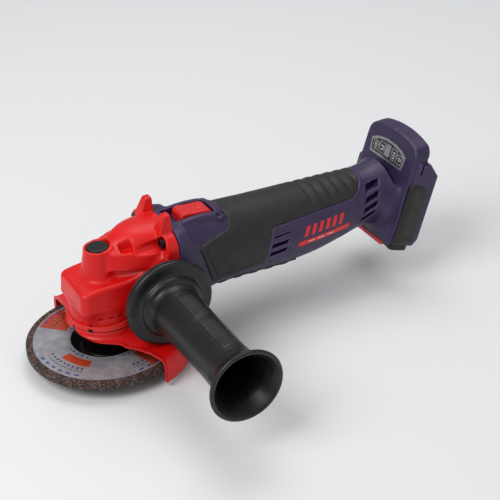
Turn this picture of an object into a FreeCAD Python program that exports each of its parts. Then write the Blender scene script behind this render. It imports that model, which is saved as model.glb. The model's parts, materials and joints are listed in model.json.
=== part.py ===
import FreeCAD, Part
import math
import os
import re

import Sketcher
from FreeCAD import Placement, Rotation, Vector

# Cordless angle grinder, 125 mm disc.
# Frame: +Z up along the spindle, +X from the gear head to the battery foot, the side handle on -Y.
# Origin: centre of the spindle's lower end face. All sizes are in millimetres.

os.makedirs("parts", exist_ok=True)
doc = FreeCAD.newDocument("AngleGrinder")

# ---------------------------------------------------------------------------------------------
# Driving dimensions
# ---------------------------------------------------------------------------------------------

DIMENSIONS = {
    # grinding disc, 125 x 6 x 22.23, depressed centre
    "disc_radius": 62.5,
    "disc_thickness": 6.0,
    "rim_top": 16.0,
    "dish_floor": 9.0,
    "dish_radius": 27.0,
    "dish_floor_radius": 21.0,
    "hub_thickness": 4.0,
    "bore_radius": 11.15,
    "bore_ring_wall": 1.2,
    "label_radius": 57.0,
    "label_thickness": 0.3,
    # spindle line
    "thread_radius": 7.0,
    "thread_top": 15.5,
    "shoulder_radius": 8.0,
    "shaft_radius": 6.0,
    "spindle_tip_radius": 4.0,
    "spindle_tip_bottom": 73.5,
    "spindle_top": 84.5,
    "nut_radius": 19.0,
    "nut_bottom": 1.0,
    "flange_radius": 18.5,
    "flange_thickness": 2.0,
    "lower_bearing_radius": 16.0,
    "lower_bearing_bottom": 28.0,
    "lower_bearing_width": 10.0,
    "upper_bearing_radius": 9.5,
    "upper_bearing_bottom": 76.0,
    "upper_bearing_width": 6.0,
    # bevel gear pair
    "gear_teeth": 36,
    "pinion_teeth": 10,
    "gear_radius": 20.5,
    "tooth_face": 6.0,
    # motor line
    "motor_height": 71.0,
    "motor_shaft_radius": 4.0,
    "motor_bearing_radius": 11.0,
    "front_bearing_start": 29.5,
    "front_bearing_width": 8.0,
    "rear_bearing_start": 132.5,
    "rear_bearing_width": 6.0,
    "rotor_radius": 16.0,
    "rotor_start": 74.0,
    "rotor_end": 112.0,
    "can_radius": 25.0,
    "can_start": 66.0,
    "can_end": 130.0,
    "fan_radius": 25.0,
    # gear head
    "head_front": -24.0,
    "head_rear": 53.0,
    "cover_bottom": 38.0,
    "cover_top": 43.0,
    "cover_radius": 27.0,
    "neck_radius": 20.0,
    "neck_bottom": 27.0,
    "collar_half_width": 33.0,
    "collar_bottom": 36.0,
    "collar_top": 107.0,
    "screw_circle_y": 24.0,
    "screw_circle_z": 29.5,
    # spindle lock button
    "button_radius": 8.4,
    "button_top": 99.8,
    "boss_top": 98.6,
    "boss_radius": 10.9,
    "lock_travel": 2.5,
    # side handle
    "handle_x": 36.0,
    "handle_z": 62.0,
    "handle_flange_radius": 35.5,
    "handle_flange_y": 46.0,
    "handle_grip_radius": 19.0,
    "handle_end_y": 168.0,
    "handle_end_radius": 29.0,
    "stud_radius": 4.0,
    "tapped_radius": 3.4,
    # guard
    "guard_radius": 68.0,
    "guard_wall": 1.8,
    "guard_bottom": 4.0,
    "guard_top": 25.0,
    "guard_near_x": 22.5,
    "guard_far_x": -16.0,
    # housing behind the head
    "housing_start": 53.4,
    "housing_end": 103.6,
    "shell_start": 104.0,
    "shell_inset": 1.7,
    "cavity_inset": 4.2,
    # slide switch
    "slide_start": 67.0,
    "slide_end": 93.0,
    "slide_half_width": 9.0,
    "slide_top": 110.0,
    "slide_travel": 7.0,
    # battery foot, in its own tilted frame: u up the plate, n out of its back
    "foot_tilt": 18.0,
    "foot_x": 245.0,
    "foot_z": 50.6,
    "foot_half_width": 36.0,
    "foot_thickness": 14.0,
    "foot_bottom": -10.0,
    "foot_top": 83.5,
    "cheek_depth": 27.0,
    "cheek_top": 62.0,
    "cheek_inner": 31.0,
}

dims = doc.addObject("Spreadsheet::Sheet", "Dims")
for row, (alias, value) in enumerate(DIMENSIONS.items(), start=1):
    dims.set(f"A{row}", alias)
    dims.set(f"B{row}", str(value))
    dims.setAlias(f"B{row}", alias)
doc.recompute()

WORD = re.compile(r"[A-Za-z_]+")
X_AXIS = Vector(1, 0, 0)
Y_AXIS = Vector(0, 1, 0)
Z_AXIS = Vector(0, 0, 1)
UPRIGHT = Rotation()
ALONG_X = Rotation(Y_AXIS, 90)
ALONG_Y = Rotation(X_AXIS, -90)
ALONG_MINUS_Y = Rotation(X_AXIS, 90)

# How far a cutting tool runs past the face that it opens.
PAST = 1.0
# Radial clearance of a running fit.
FIT = 0.05
# Gap between the shells and the rubber that covers them.
GRIP_GAP = 0.12

kept = []


# ---------------------------------------------------------------------------------------------
# Helpers
# ---------------------------------------------------------------------------------------------


def linked(expression):
    """The expression with every alias in it pointed at the sheet."""

    def point(match):
        return "Dims." + match.group() if match.group() in DIMENSIONS else match.group()

    return WORD.sub(point, str(expression))


def value_of(expression):
    """The number that an expression on the sheet's aliases comes to."""
    found = dims.evalExpression(linked(expression))
    return float(getattr(found, "Value", found))


def place(item, base=(0, 0, 0), turn=UPRIGHT):
    """Turn an object and tie its position to the sheet."""
    item.Placement = Placement(Vector(*[value_of(part) for part in base]), turn)
    for letter, part in zip("xyz", base):
        if isinstance(part, str):
            item.setExpression(f"Placement.Base.{letter}", linked(part))
    return item


def keep(item, label):
    """Mark a finished sub-part; its label names its file."""
    item.Label = label
    kept.append(item)
    return item


def cylinder(radius, length, base=(0, 0, 0), turn=UPRIGHT):
    item = doc.addObject("Part::Cylinder", "Cylinder")
    item.setExpression("Radius", linked(radius))
    item.setExpression("Height", linked(length))
    return place(item, base, turn)


def upright(radius, low, high):
    """A cylinder on the spindle's line, from one height to another."""
    return cylinder(radius, f"({high}) - ({low})", (0, 0, low))


def on_motor(radius, start, end):
    """A cylinder on the motor's line, from one x to another."""
    return cylinder(radius, f"({end}) - ({start})", (start, 0, "motor_height"), ALONG_X)


def cone(first, second, length, base=(0, 0, 0), turn=UPRIGHT):
    item = doc.addObject("Part::Cone", "Cone")
    item.setExpression("Radius1", linked(first))
    item.setExpression("Radius2", linked(second))
    item.setExpression("Height", linked(length))
    return place(item, base, turn)


def block(low, high, turn=UPRIGHT):
    """A box from its lowest corner to its highest, both given by expressions."""
    item = doc.addObject("Part::Box", "Block")
    for side, start, end in zip(("Length", "Width", "Height"), low, high):
        item.setExpression(side, linked(f"({end}) - ({start})"))
    return place(item, low, turn)


def fuse(*shapes):
    item = doc.addObject("Part::MultiFuse", "Fusion")
    item.Shapes = list(shapes)
    return item


def cut(base, *tools):
    item = doc.addObject("Part::Cut", "Cut")
    item.Base = base
    item.Tool = tools[0] if len(tools) == 1 else fuse(*tools)
    return item


def common(first, second):
    item = doc.addObject("Part::Common", "Common")
    item.Base = first
    item.Tool = second
    return item


def group(*shapes):
    """Separate solids kept together as one node."""
    item = doc.addObject("Part::Compound", "Group")
    item.Links = list(shapes)
    return item


def ring(outer, inner, length, base=(0, 0, 0), turn=UPRIGHT):
    """A plain ring, whose bore is cut right through."""
    bore_length = f"({length}) + 2 * {PAST}"
    back = turn.multVec(Vector(0, 0, -PAST))
    bore_base = tuple(f"({part}) + ({step})" for part, step in zip(base, back))
    return cut(cylinder(outer, length, base, turn), cylinder(inner, bore_length, bore_base, turn))


def origin_plane(body, role):
    return next(item for item in body.Origin.OriginFeatures if item.Role == role)


def outline(body, role, corners, offset=None):
    """A closed outline on one of the body's planes, each corner tied to the sheet."""
    sketch = body.newObject("Sketcher::SketchObject", "Outline")
    sketch.AttachmentSupport = [(origin_plane(body, role), "")]
    sketch.MapMode = "FlatFace"
    if offset is not None:
        sketch.AttachmentOffset = Placement(Vector(0, 0, value_of(offset)), UPRIGHT)
        sketch.setExpression("AttachmentOffset.Base.z", linked(offset))
    spots = [Vector(value_of(across), value_of(up), 0) for across, up in corners]
    count = len(spots)
    for index, spot in enumerate(spots):
        sketch.addGeometry(Part.LineSegment(spot, spots[(index + 1) % count]), False)
    for index in range(count):
        sketch.addConstraint(Sketcher.Constraint("Coincident", index, 2, (index + 1) % count, 1))
    for index, corner in enumerate(corners):
        for kind, expression in zip(("DistanceX", "DistanceY"), corner):
            number = value_of(expression)
            made = sketch.addConstraint(Sketcher.Constraint(kind, -1, 1, index, 1, number))
            sketch.setExpression(f"Constraints[{made}]", linked(expression))
    return sketch


def turned(corners, role="XZ_Plane", axis="V_Axis", base=(0, 0, 0), angle=360):
    """A turned piece: an outline revolved about one of its sketch's axes."""
    body = doc.addObject("PartDesign::Body", "Turned")
    sketch = outline(body, role, corners)
    turn = body.newObject("PartDesign::Revolution", "Turn")
    turn.Profile = sketch
    turn.ReferenceAxis = (sketch, [axis])
    turn.Angle = angle
    sketch.Visibility = False
    return place(body, base)


def padded(corners, role, start, length, base=(0, 0, 0), turn=UPRIGHT):
    """A plate: an outline padded along its plane's normal, from a start height."""
    body = doc.addObject("PartDesign::Body", "Plate")
    sketch = outline(body, role, corners, offset=start)
    pad = body.newObject("PartDesign::Pad", "Pad")
    pad.Profile = sketch
    pad.setExpression("Length", linked(length))
    sketch.Visibility = False
    return place(body, base, turn)


def lofted(stations):
    """A straight-sided loft along X through (x, corners) stations."""
    body = doc.addObject("PartDesign::Body", "Loft")
    sketches = [outline(body, "YZ_Plane", corners, offset=x) for x, corners in stations]
    loft = body.newObject("PartDesign::AdditiveLoft", "Loft")
    loft.Profile = sketches[0]
    loft.Sections = sketches[1:]
    loft.Ruled = True
    for sketch in sketches:
        sketch.Visibility = False
    return body


def chamfered(half_width, low, high, corner):
    """Eight corners of an upright rectangle whose corners are cut off."""
    w, c = f"({half_width})", f"({corner})"
    low, high = f"({low})", f"({high})"
    right = [(f"{w} - {c}", low), (w, f"{low} + {c}"), (w, f"{high} - {c}"), (f"{w} - {c}", high)]
    left = [(f"-({across})", up) for across, up in reversed(right)]
    return right + left


def around(count, start=0.0):
    """Evenly spaced angles, in degrees."""
    return [start + 360.0 * index / count for index in range(count)]


def spot(radius, angle, z):
    """A point at a radius and an angle about the spindle."""
    turn = math.radians(angle)
    return (f"{math.cos(turn):.6f} * ({radius})", f"{math.sin(turn):.6f} * ({radius})", z)


# ---------------------------------------------------------------------------------------------
# Disc, flange and nut
# ---------------------------------------------------------------------------------------------


def grinding_disc():
    """Depressed-centre disc: the dish opens upwards, towards the guard."""
    hub_bottom = "dish_floor - hub_thickness"
    bore = "bore_radius + bore_ring_wall"
    flat_bottom = "rim_top - disc_thickness"
    return turned(
        [
            (bore, hub_bottom),
            ("dish_floor_radius + 1.5", hub_bottom),
            ("dish_radius + 1.5", flat_bottom),
            ("disc_radius - 0.6", flat_bottom),
            ("disc_radius", f"{flat_bottom} + 0.6"),
            ("disc_radius", "rim_top - 0.6"),
            ("disc_radius - 0.6", "rim_top"),
            ("dish_radius", "rim_top"),
            ("dish_floor_radius", "dish_floor"),
            (bore, "dish_floor"),
        ]
    )


def inner_flange():
    """Stepped steel flange between the disc and the spindle's shoulder."""
    seat = "dish_floor"
    plate_top = "dish_floor + flange_thickness"
    return turned(
        [
            ("thread_radius + 0.05", f"{seat} - 1.6"),
            ("bore_radius - 0.15", f"{seat} - 1.6"),
            ("bore_radius - 0.15", seat),
            ("flange_radius", seat),
            ("flange_radius", f"{plate_top} - 0.4"),
            ("flange_radius - 0.4", plate_top),
            ("shoulder_radius + 2", plate_top),
            ("shoulder_radius + 2", f"{plate_top} + 1.4"),
            ("shoulder_radius + 1", f"{plate_top} + 1.4"),
            ("shoulder_radius + 1", "thread_top"),
            ("thread_radius + 0.05", "thread_top"),
        ]
    )


def lock_nut():
    """Flanged round nut with two holes for a pin spanner."""
    seat = "dish_floor - hub_thickness"
    body = turned(
        [
            ("thread_radius + 0.05", "nut_bottom"),
            ("nut_radius - 1", "nut_bottom"),
            ("nut_radius", "nut_bottom + 1"),
            ("nut_radius", seat),
            ("bore_radius - 0.15", seat),
            ("bore_radius - 0.15", f"{seat} + 2"),
            ("thread_radius + 0.05", f"{seat} + 2"),
        ]
    )
    holes = [
        cylinder(2.5, 6, spot("nut_radius - 4", angle, "nut_bottom - 1")) for angle in around(2)
    ]
    return cut(body, *holes)


def bore_ring():
    hub_bottom = "dish_floor - hub_thickness"
    outer = "bore_radius + bore_ring_wall"
    return ring(outer, "bore_radius", "hub_thickness", (0, 0, hub_bottom))


keep(grinding_disc(), "grinding_disc")
keep(
    ring("label_radius", "dish_radius + 0.6", "label_thickness", (0, 0, "rim_top")), "disc_label"
)
keep(bore_ring(), "disc_bore_ring")
keep(inner_flange(), "inner_flange")
keep(lock_nut(), "lock_nut")

# ---------------------------------------------------------------------------------------------
# Spindle, its gear and bearings
# ---------------------------------------------------------------------------------------------


def spindle():
    """Stepped shaft with a cross slot in its top end for the lock."""
    shaft = turned(
        [
            (0, 0),
            ("thread_radius - 1", 0),
            ("thread_radius", 1),
            ("thread_radius", "thread_top"),
            ("shoulder_radius", "thread_top"),
            ("shoulder_radius", "lower_bearing_bottom - 0.5"),
            ("shaft_radius", "lower_bearing_bottom - 0.5"),
            ("shaft_radius", 61),
            ("shaft_radius - 1", 62),
            ("shaft_radius - 1", "spindle_tip_bottom"),
            ("spindle_tip_radius", "spindle_tip_bottom"),
            ("spindle_tip_radius", "spindle_top"),
            (0, "spindle_top"),
        ]
    )
    slots = [
        block((-1.15, -6, "spindle_top - 2.3"), (1.15, 6, "spindle_top + 1")),
        block((-6, -1.15, "spindle_top - 2.3"), (6, 1.15, "spindle_top + 1")),
    ]
    return cut(shaft, *slots)


def scaled_loft(points, apex, factor):
    """A solid between an outline and its copy drawn in towards the cone's apex."""
    wires = []
    for scale in (1.0, factor):
        moved = [apex + (point - apex) * scale for point in points]
        wires.append(Part.makePolygon(moved + moved[:1]))
    return Part.makeLoft(wires, True, True)


def bevel_gear():
    """Large bevel gear, teeth up, under the pinion."""
    teeth = int(value_of("gear_teeth"))
    radius = value_of("gear_radius")
    ratio = value_of("gear_teeth / pinion_teeth")
    pinion_radius = radius / ratio
    apex = Vector(0, 0, value_of("motor_height"))
    factor = 1 - value_of("tooth_face") / radius
    pitch = 2 * math.pi * radius / teeth
    addendum, dedendum = 0.2 * pitch, 0.34 * pitch
    face_z = apex.z - pinion_radius
    shaft = value_of("shaft_radius")
    root_drop = dedendum - 0.02
    rim = Vector(radius, 0, face_z - root_drop)
    inner = Vector(radius * factor, 0, apex.z - (apex.z - rim.z) * factor)
    profile = [
        Vector(shaft, 0, 46),
        Vector(shaft + 4, 0, 46),
        Vector(shaft + 4, 0, 55),
        Vector(radius - 1, 0, 57.5),
        Vector(radius + 0.4, 0, rim.z - 1),
        rim,
        inner,
        Vector(radius * factor - 1.5, 0, 60.5),
        Vector(shaft, 0, 60.5),
    ]
    blank = Part.Face(Part.makePolygon(profile + profile[:1])).revolve(Vector(), Z_AXIS, 360)
    half, tip = 0.2 * pitch, 0.1 * pitch
    outline_points = [
        Vector(radius, -half * 1.25, face_z - dedendum - 0.2),
        Vector(radius, half * 1.25, face_z - dedendum - 0.2),
        Vector(radius, tip, face_z + addendum),
        Vector(radius, -tip, face_z + addendum),
    ]
    one = scaled_loft(outline_points, apex, factor)
    ring_of_teeth = []
    for angle in around(teeth):
        copy = one.copy()
        copy.rotate(Vector(), Z_AXIS, angle)
        ring_of_teeth.append(copy)
    item = doc.addObject("Part::Feature", "BevelGear")
    item.Shape = blank.fuse(ring_of_teeth).removeSplitter()
    item.Placement = Placement()
    return item


def pinion():
    """Small bevel pinion on the motor shaft, its teeth standing in the gear's gaps."""
    teeth = int(value_of("pinion_teeth"))
    radius = value_of("gear_radius")
    pitch_radius = radius * teeth / value_of("gear_teeth")
    apex = Vector(0, 0, value_of("motor_height"))
    factor = 1 - value_of("tooth_face") / radius
    pitch = 2 * math.pi * pitch_radius / teeth
    root = pitch_radius - 0.32 * pitch
    tip = pitch_radius + 0.2 * pitch
    half_angles = (0.26 * 180 / teeth * 1.5, 0.18 * 180 / teeth * 1.5)
    points = []
    for angle in around(teeth, start=-90 + 180 / teeth):
        for reach, side in ((root, -1), (tip, -1), (tip, 1), (root, 1)):
            spread = half_angles[0] if reach == root else half_angles[1]
            turn = math.radians(angle + side * spread)
            points.append(Vector(radius, reach * math.cos(turn), apex.z + reach * math.sin(turn)))
    toothed = scaled_loft(points, apex, factor)
    hub_radius = value_of("motor_shaft_radius") + 0.6
    hub = Part.makeCylinder(hub_radius, 2.5, Vector(radius, 0, apex.z), X_AXIS)
    item = doc.addObject("Part::Feature", "Pinion")
    item.Shape = toothed.fuse(hub).removeSplitter()
    item.Placement = Placement()
    return item


def upright_bearing(shaft, outer, bottom, width):
    return ring(outer, f"{shaft} + {FIT}", width, (0, 0, bottom))


keep(spindle(), "spindle")
keep(bevel_gear(), "bevel_gear")
keep(pinion(), "pinion")
keep(
    upright_bearing(
        "shaft_radius", "lower_bearing_radius", "lower_bearing_bottom", "lower_bearing_width"
    ),
    "lower_spindle_bearing",
)
keep(
    upright_bearing(
        "spindle_tip_radius", "upper_bearing_radius", "upper_bearing_bottom", "upper_bearing_width"
    ),
    "upper_spindle_bearing",
)

# ---------------------------------------------------------------------------------------------
# Gear head
# ---------------------------------------------------------------------------------------------

SCREW_CORNERS = [(side, rise) for side in (-1, 1) for rise in (-1, 1)]


def head_block():
    """Boxy snout that widens and rises to the squared rear rim."""
    return lofted(
        [
            ("head_front", chamfered(21, 56, 73, 4)),
            ("head_front + 6", chamfered(24, "cover_top", 76, 5)),
            (4, chamfered(27, "cover_top", 78, 6)),
            (26, chamfered(31, "cover_top", 88, 8)),
            (42, chamfered("collar_half_width", "collar_bottom", "collar_top - 3", 11)),
            ("head_rear", chamfered("collar_half_width", "collar_bottom", "collar_top", 11)),
        ]
    )


def head_hump():
    """The hump that climbs from the lock button's boss to the rear rim."""
    return lofted(
        [
            (2, chamfered(9, 70, 92, 4)),
            (14, chamfered(15, 70, 101, 7)),
            (30, chamfered(20, 70, 109, 9)),
            (50, chamfered(23, 70, 111, 9)),
        ]
    )


def head_ear(side):
    """One of the two tapered lugs at the top of the rear rim."""
    low = [("38", 100), ("53", 100), ("52.5", 112), ("50", 120.5), ("45.5", 120.5), ("42", 112)]
    plate = padded(low, "XZ_Plane", "-6", "12", base=(0, 16.5 * side, 0))
    return plate


def gear_housing():
    solids = [
        head_block(),
        head_hump(),
        cone("boss_radius + 2", "boss_radius", "boss_top - 70", (0, 0, 70)),
        cylinder("cover_radius", 14, (0, 0, "cover_top")),
        cylinder(13, 74, ("handle_x", 37, "handle_z"), ALONG_MINUS_Y),
        head_ear(1),
        head_ear(-1),
    ]
    bearing_top = "upper_bearing_bottom + upper_bearing_width"
    bearing_end = "front_bearing_start + front_bearing_width"
    hollows = [
        cylinder("cover_radius + 0.2", 12, (0, 0, "cover_top - 12")),
        upright(22, f"cover_top - {PAST}", "upper_bearing_bottom - 2"),
        upright("upper_bearing_radius + 0.02", 70, bearing_top),
        upright("spindle_tip_radius + 1", f"{bearing_top} - 1", "spindle_top + 1.5"),
        upright("spindle_tip_radius + 0.2", "spindle_top + 1", "spindle_top + 7"),
        upright("button_radius + 0.2", "spindle_top + 3.5", "boss_top + 2"),
        on_motor(9.5, 0, "front_bearing_start"),
        on_motor("motor_bearing_radius + 0.02", 20, bearing_end),
        on_motor("motor_shaft_radius + 1.5", f"{bearing_end} - 1", f"{bearing_end} + 11"),
        cone(17, 28, "head_rear - 42 + 1", (42, 0, "motor_height"), ALONG_X),
    ]
    for side in (-1, 1):
        turn = ALONG_Y if side > 0 else ALONG_MINUS_Y
        hole_radius = "tapped_radius" if side > 0 else f"stud_radius + {FIT}"
        hollows.append(cylinder(hole_radius, 14, ("handle_x", 25 * side, "handle_z"), turn))
        hollows.append(block((10, f"{17 * side - 6}", 92), (22, f"{17 * side + 6}", 110)))
    for side, rise in SCREW_CORNERS:
        y = f"{side} * screw_circle_y"
        z = f"motor_height + {rise} * screw_circle_z"
        hollows.append(cylinder(2.1, 30, (30, y, z), ALONG_X))
        hollows.append(cylinder(4.6, 18, (27, y, z), ALONG_X))
    for angle in around(4, 45):
        hollows.append(cylinder(1.65, 14, spot(24.6, angle, "cover_top - 1")))
    return cut(fuse(*solids), *hollows)


def bearing_cover():
    """Cover under the head: bearing seat, neck for the guard and four countersinks."""
    body = turned(
        [
            ("shoulder_radius + 1.5", "neck_bottom"),
            ("neck_radius", "neck_bottom"),
            ("neck_radius", "cover_bottom"),
            ("cover_radius - 1", "cover_bottom"),
            ("cover_radius", "cover_bottom + 1"),
            ("cover_radius", "cover_top"),
            ("lower_bearing_radius + 0.02", "cover_top"),
            ("lower_bearing_radius + 0.02", "lower_bearing_bottom"),
            ("shoulder_radius + 1.5", "lower_bearing_bottom"),
        ]
    )
    tools = []
    for angle in around(4, 45):
        tools.append(cylinder(1.65, 8, spot(24.6, angle, "cover_bottom - 1")))
        tools.append(cylinder(3.0, 4, spot(24.6, angle, "cover_bottom - 1")))
    return cut(body, *tools)


def cover_screws():
    screws = []
    for angle in around(4, 45):
        head = cylinder(2.7, 2.4, spot(24.6, angle, "cover_bottom + 0.6"))
        shank = cylinder(1.6, 13, spot(24.6, angle, "cover_bottom + 2.9"))
        socket = cylinder(1.2, 1.5, spot(24.6, angle, "cover_bottom + 0.1"))
        screws.append(cut(fuse(head, shank), socket))
    return group(*screws)


def head_screws():
    """Four socket screws that clamp the head to the motor housing."""
    screws = []
    for side, rise in SCREW_CORNERS:
        y = f"{side} * screw_circle_y"
        z = f"motor_height + {rise} * screw_circle_z"
        head = cylinder(3.6, 4, (40.9, y, z), ALONG_X)
        shank = cylinder(2.0, 15.2, (44.8, y, z), ALONG_X)
        socket = cylinder(1.6, 2.5, (40.4, y, z), ALONG_X)
        screws.append(cut(fuse(head, shank), socket))
    return group(*screws)


def lock_button():
    """Ribbed cap, stem and the blade that drops into the spindle's slot."""
    cap = cylinder("button_radius", "button_top - 93.5 - 0.6", (0, 0, 93.5))
    ribs = [
        block((x - 0.45, f"-{reach}", "button_top - 0.7"), (x + 0.45, reach, "button_top"))
        for x, reach in ((-5.4, 5), (-3.6, 6.4), (-1.8, 7), (0, 7.4), (1.8, 7), (3.6, 6.4), (5.4, 5))
    ]
    stem = cylinder("spindle_tip_radius", "93.6 - spindle_top - 3.6", (0, 0, "spindle_top + 3.6"))
    blade = block((-1, -3.4, "spindle_top + 0.7"), (1, 3.4, "spindle_top + 3.7"))
    return fuse(cap, stem, blade, *ribs)


def lock_spring():
    """Coil spring round the button's stem, as a slim sleeve of its outer size."""
    return ring(6.6, 5.2, "93.4 - spindle_top - 3.6", (0, 0, "spindle_top + 3.55"))


keep(gear_housing(), "gear_housing")
keep(bearing_cover(), "bearing_cover")
keep(cover_screws(), "cover_screws")
keep(head_screws(), "head_screws")
keep(lock_button(), "lock_button")
keep(lock_spring(), "lock_spring")

# ---------------------------------------------------------------------------------------------
# Guard
# ---------------------------------------------------------------------------------------------


def guard_shell():
    """Half-round hood: a shallow cone over the disc and a skirt round its rim."""
    inner = "guard_radius - guard_wall"
    body = turned(
        [
            ("neck_radius + 4", 30),
            ("neck_radius + 8", 30),
            ("guard_radius - 10", "guard_top - 2.4"),
            (f"{inner} - 1", "guard_top - 5"),
            (inner, "guard_top - 7"),
            (inner, "guard_bottom"),
            ("guard_radius", "guard_bottom"),
            ("guard_radius", "guard_top - 5"),
            ("guard_radius - 2.5", "guard_top - 1.5"),
            ("guard_radius - 10", "guard_top"),
            ("neck_radius + 9", 33),
            ("neck_radius + 4", 33),
        ]
    )
    beyond = "guard_radius + 12"
    covered = padded(
        [
            ("guard_near_x", "-guard_radius - 1"),
            (9, -47),
            (-6, -24),
            (-19, 20),
            (-17, 40),
            ("guard_far_x", "guard_radius + 2"),
            (beyond, beyond),
            (beyond, f"-({beyond})"),
        ],
        "XY_Plane",
        0,
        60,
    )
    return common(body, fuse(covered, cylinder("neck_radius + 9", 60)))


def clamp_lugs():
    """The two ears of the band, drilled for the clamp screw."""
    ears = []
    for low, high in ((-5, -1.2), (1.2, 5)):
        ears.append(block((22.5, low, 33.3), (30, high, 36.5)))
    return ears


def guard_band():
    """Split steel band that turns on the cover's neck."""
    band = ring("neck_radius + 3.9", f"neck_radius + {FIT}", 8, (0, 0, 28.5))
    slit = block((10, -1, 28), (30, 1, 37))
    bore = cylinder(1.6, 14, (27.2, -7, 34.9), ALONG_Y)
    return cut(fuse(band, *clamp_lugs()), slit, bore)


def guard_clamp_screw():
    head = cylinder(1.85, 2.2, (27.2, -7.3, 34.9), ALONG_Y)
    shank = cylinder(1.5, 12.4, (27.2, -5.1, 34.9), ALONG_Y)
    return fuse(head, shank)


keep(guard_shell(), "guard_shell")
keep(guard_band(), "guard_band")
keep(guard_clamp_screw(), "guard_clamp_screw")

# ---------------------------------------------------------------------------------------------
# Side handle
# ---------------------------------------------------------------------------------------------


def handle_grip():
    """Flange, cylindrical grip and a hollow trumpet end, turned about Y; outline is (y, radius)."""
    face = "-handle_flange_y"
    end = "-handle_end_y"
    flange = "handle_flange_radius"
    grip = "handle_grip_radius"
    base = ("handle_x", 0, "handle_z")
    body = turned(
        [
            ("-37.2", 5),
            ("-37.2", 15),
            (f"{face} + 5", 17),
            (f"{face} + 5", f"{flange} - 3"),
            (f"{face} + 4", f"{flange} - 0.8"),
            (f"{face} + 3", f"{flange} - 0.8"),
            (f"{face} + 3", f"{flange} - 2"),
            (f"{face} + 2", f"{flange} - 2"),
            (f"{face} + 2", flange),
            (f"{face} - 1", flange),
            (f"{face} - 3", f"{flange} - 3"),
            (f"{face} - 4.5", f"{grip} + 3.5"),
            (f"{face} - 7", f"{grip} + 1"),
            (f"{face} - 12", grip),
            (f"{end} + 34", f"{grip} - 0.6"),
            (f"{end} + 18", f"{grip} + 1"),
            (f"{end} + 8", f"{grip} + 5"),
            (f"{end} + 3", "handle_end_radius - 0.8"),
            (f"{end} + 1", "handle_end_radius"),
            (end, "handle_end_radius - 1"),
            (f"{end} + 0.6", "handle_end_radius - 3.5"),
            (f"{end} + 8", f"{grip} + 1.5"),
            (f"{end} + 20", f"{grip} - 3.5"),
            (f"{end} + 60", f"{grip} - 4.5"),
            (f"{end} + 60", 0),
            (-78, 0),
            (-78, "stud_radius + 0.02"),
            (-44, "stud_radius + 0.02"),
            (-44, 5),
        ],
        role="YZ_Plane",
        axis="H_Axis",
        base=base,
    )
    return body


def handle_stud():
    """M8 stud that screws into the head's tapped boss."""
    return cylinder("stud_radius", 52.4, ("handle_x", -25.4, "handle_z"), ALONG_MINUS_Y)


keep(handle_grip(), "handle_grip")
keep(handle_stud(), "handle_stud")

# ---------------------------------------------------------------------------------------------
# Motor
# ---------------------------------------------------------------------------------------------


def rotor_shaft():
    rear_end = "rear_bearing_start + rear_bearing_width + 1"
    start = "gear_radius + 2.6"
    return cylinder("motor_shaft_radius", f"{rear_end} - ({start})", (start, 0, "motor_height"), ALONG_X)


def motor_ring(outer, inner, start, length):
    return ring(outer, inner, length, (start, 0, "motor_height"), ALONG_X)


def cooling_fan():
    """Radial fan: a backplate, a hub and flat blades."""
    plate = motor_ring("fan_radius", "motor_shaft_radius", 62, 1.6)
    hub = motor_ring("motor_shaft_radius + 4", "motor_shaft_radius", 56, 6.5)
    blades = []
    for angle in around(12):
        blade = block((56.5, 7, -0.7), (62.4, "fan_radius - 1", 0.7))
        turn = Rotation(X_AXIS, angle)
        base = Vector(56.5, 0, value_of("motor_height"))
        blade.Placement = Placement(base + turn.multVec(Vector(0, 7, -0.7)), turn)
        blades.append(blade)
    return fuse(plate, hub, *blades)


def rotor_core():
    """Laminated core with twelve open slots."""
    core = motor_ring("rotor_radius", "motor_shaft_radius", "rotor_start", "rotor_end - rotor_start")
    slots = []
    for angle in around(12):
        slot = block((0, 9, -1.2), ("rotor_end - rotor_start + 4", "rotor_radius + 2", 1.2))
        turn = Rotation(X_AXIS, angle)
        base = Vector(value_of("rotor_start") - 2, 0, value_of("motor_height"))
        slot.Placement = Placement(base + turn.multVec(Vector(0, 9, -1.2)), turn)
        slots.append(slot)
    return cut(core, *slots)


def rotor_windings():
    front = motor_ring("rotor_radius - 2.5", "motor_shaft_radius", "rotor_start - 5.5", 5.3)
    rear = motor_ring("rotor_radius - 2.5", "motor_shaft_radius", "rotor_end + 0.2", 5.3)
    return group(front, rear)


def magnets():
    """Two arc magnets inside the can."""
    length = "rotor_end - rotor_start + 6"
    tube = motor_ring("can_radius - 3.6", "rotor_radius + 0.9", "rotor_start - 3", length)
    gaps = block(("rotor_start - 6", -30, "motor_height - 3"), ("rotor_end + 6", 30, "motor_height + 3"))
    return cut(tube, gaps)


def brush_holder():
    """Ring at the commutator that carries the two brush boxes."""
    plate = motor_ring("can_radius - 3.7", 10.5, 125.5, 3)
    boxes = [
        block((120.6, low, "motor_height - 4"), (126, high, "motor_height + 4"))
        for low, high in ((-20, -10.5), (10.5, 20))
    ]
    tunnels = block((121.6, -22, "motor_height - 3"), (125, 22, "motor_height + 3"))
    return cut(fuse(plate, *boxes), tunnels)


def carbon_brushes():
    spans = ((-18.5, -8.4), (8.4, 18.5))
    brushes = [
        block((121.7, low, "motor_height - 2.9"), (124.9, high, "motor_height + 2.9"))
        for low, high in spans
    ]
    return group(*brushes)


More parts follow.
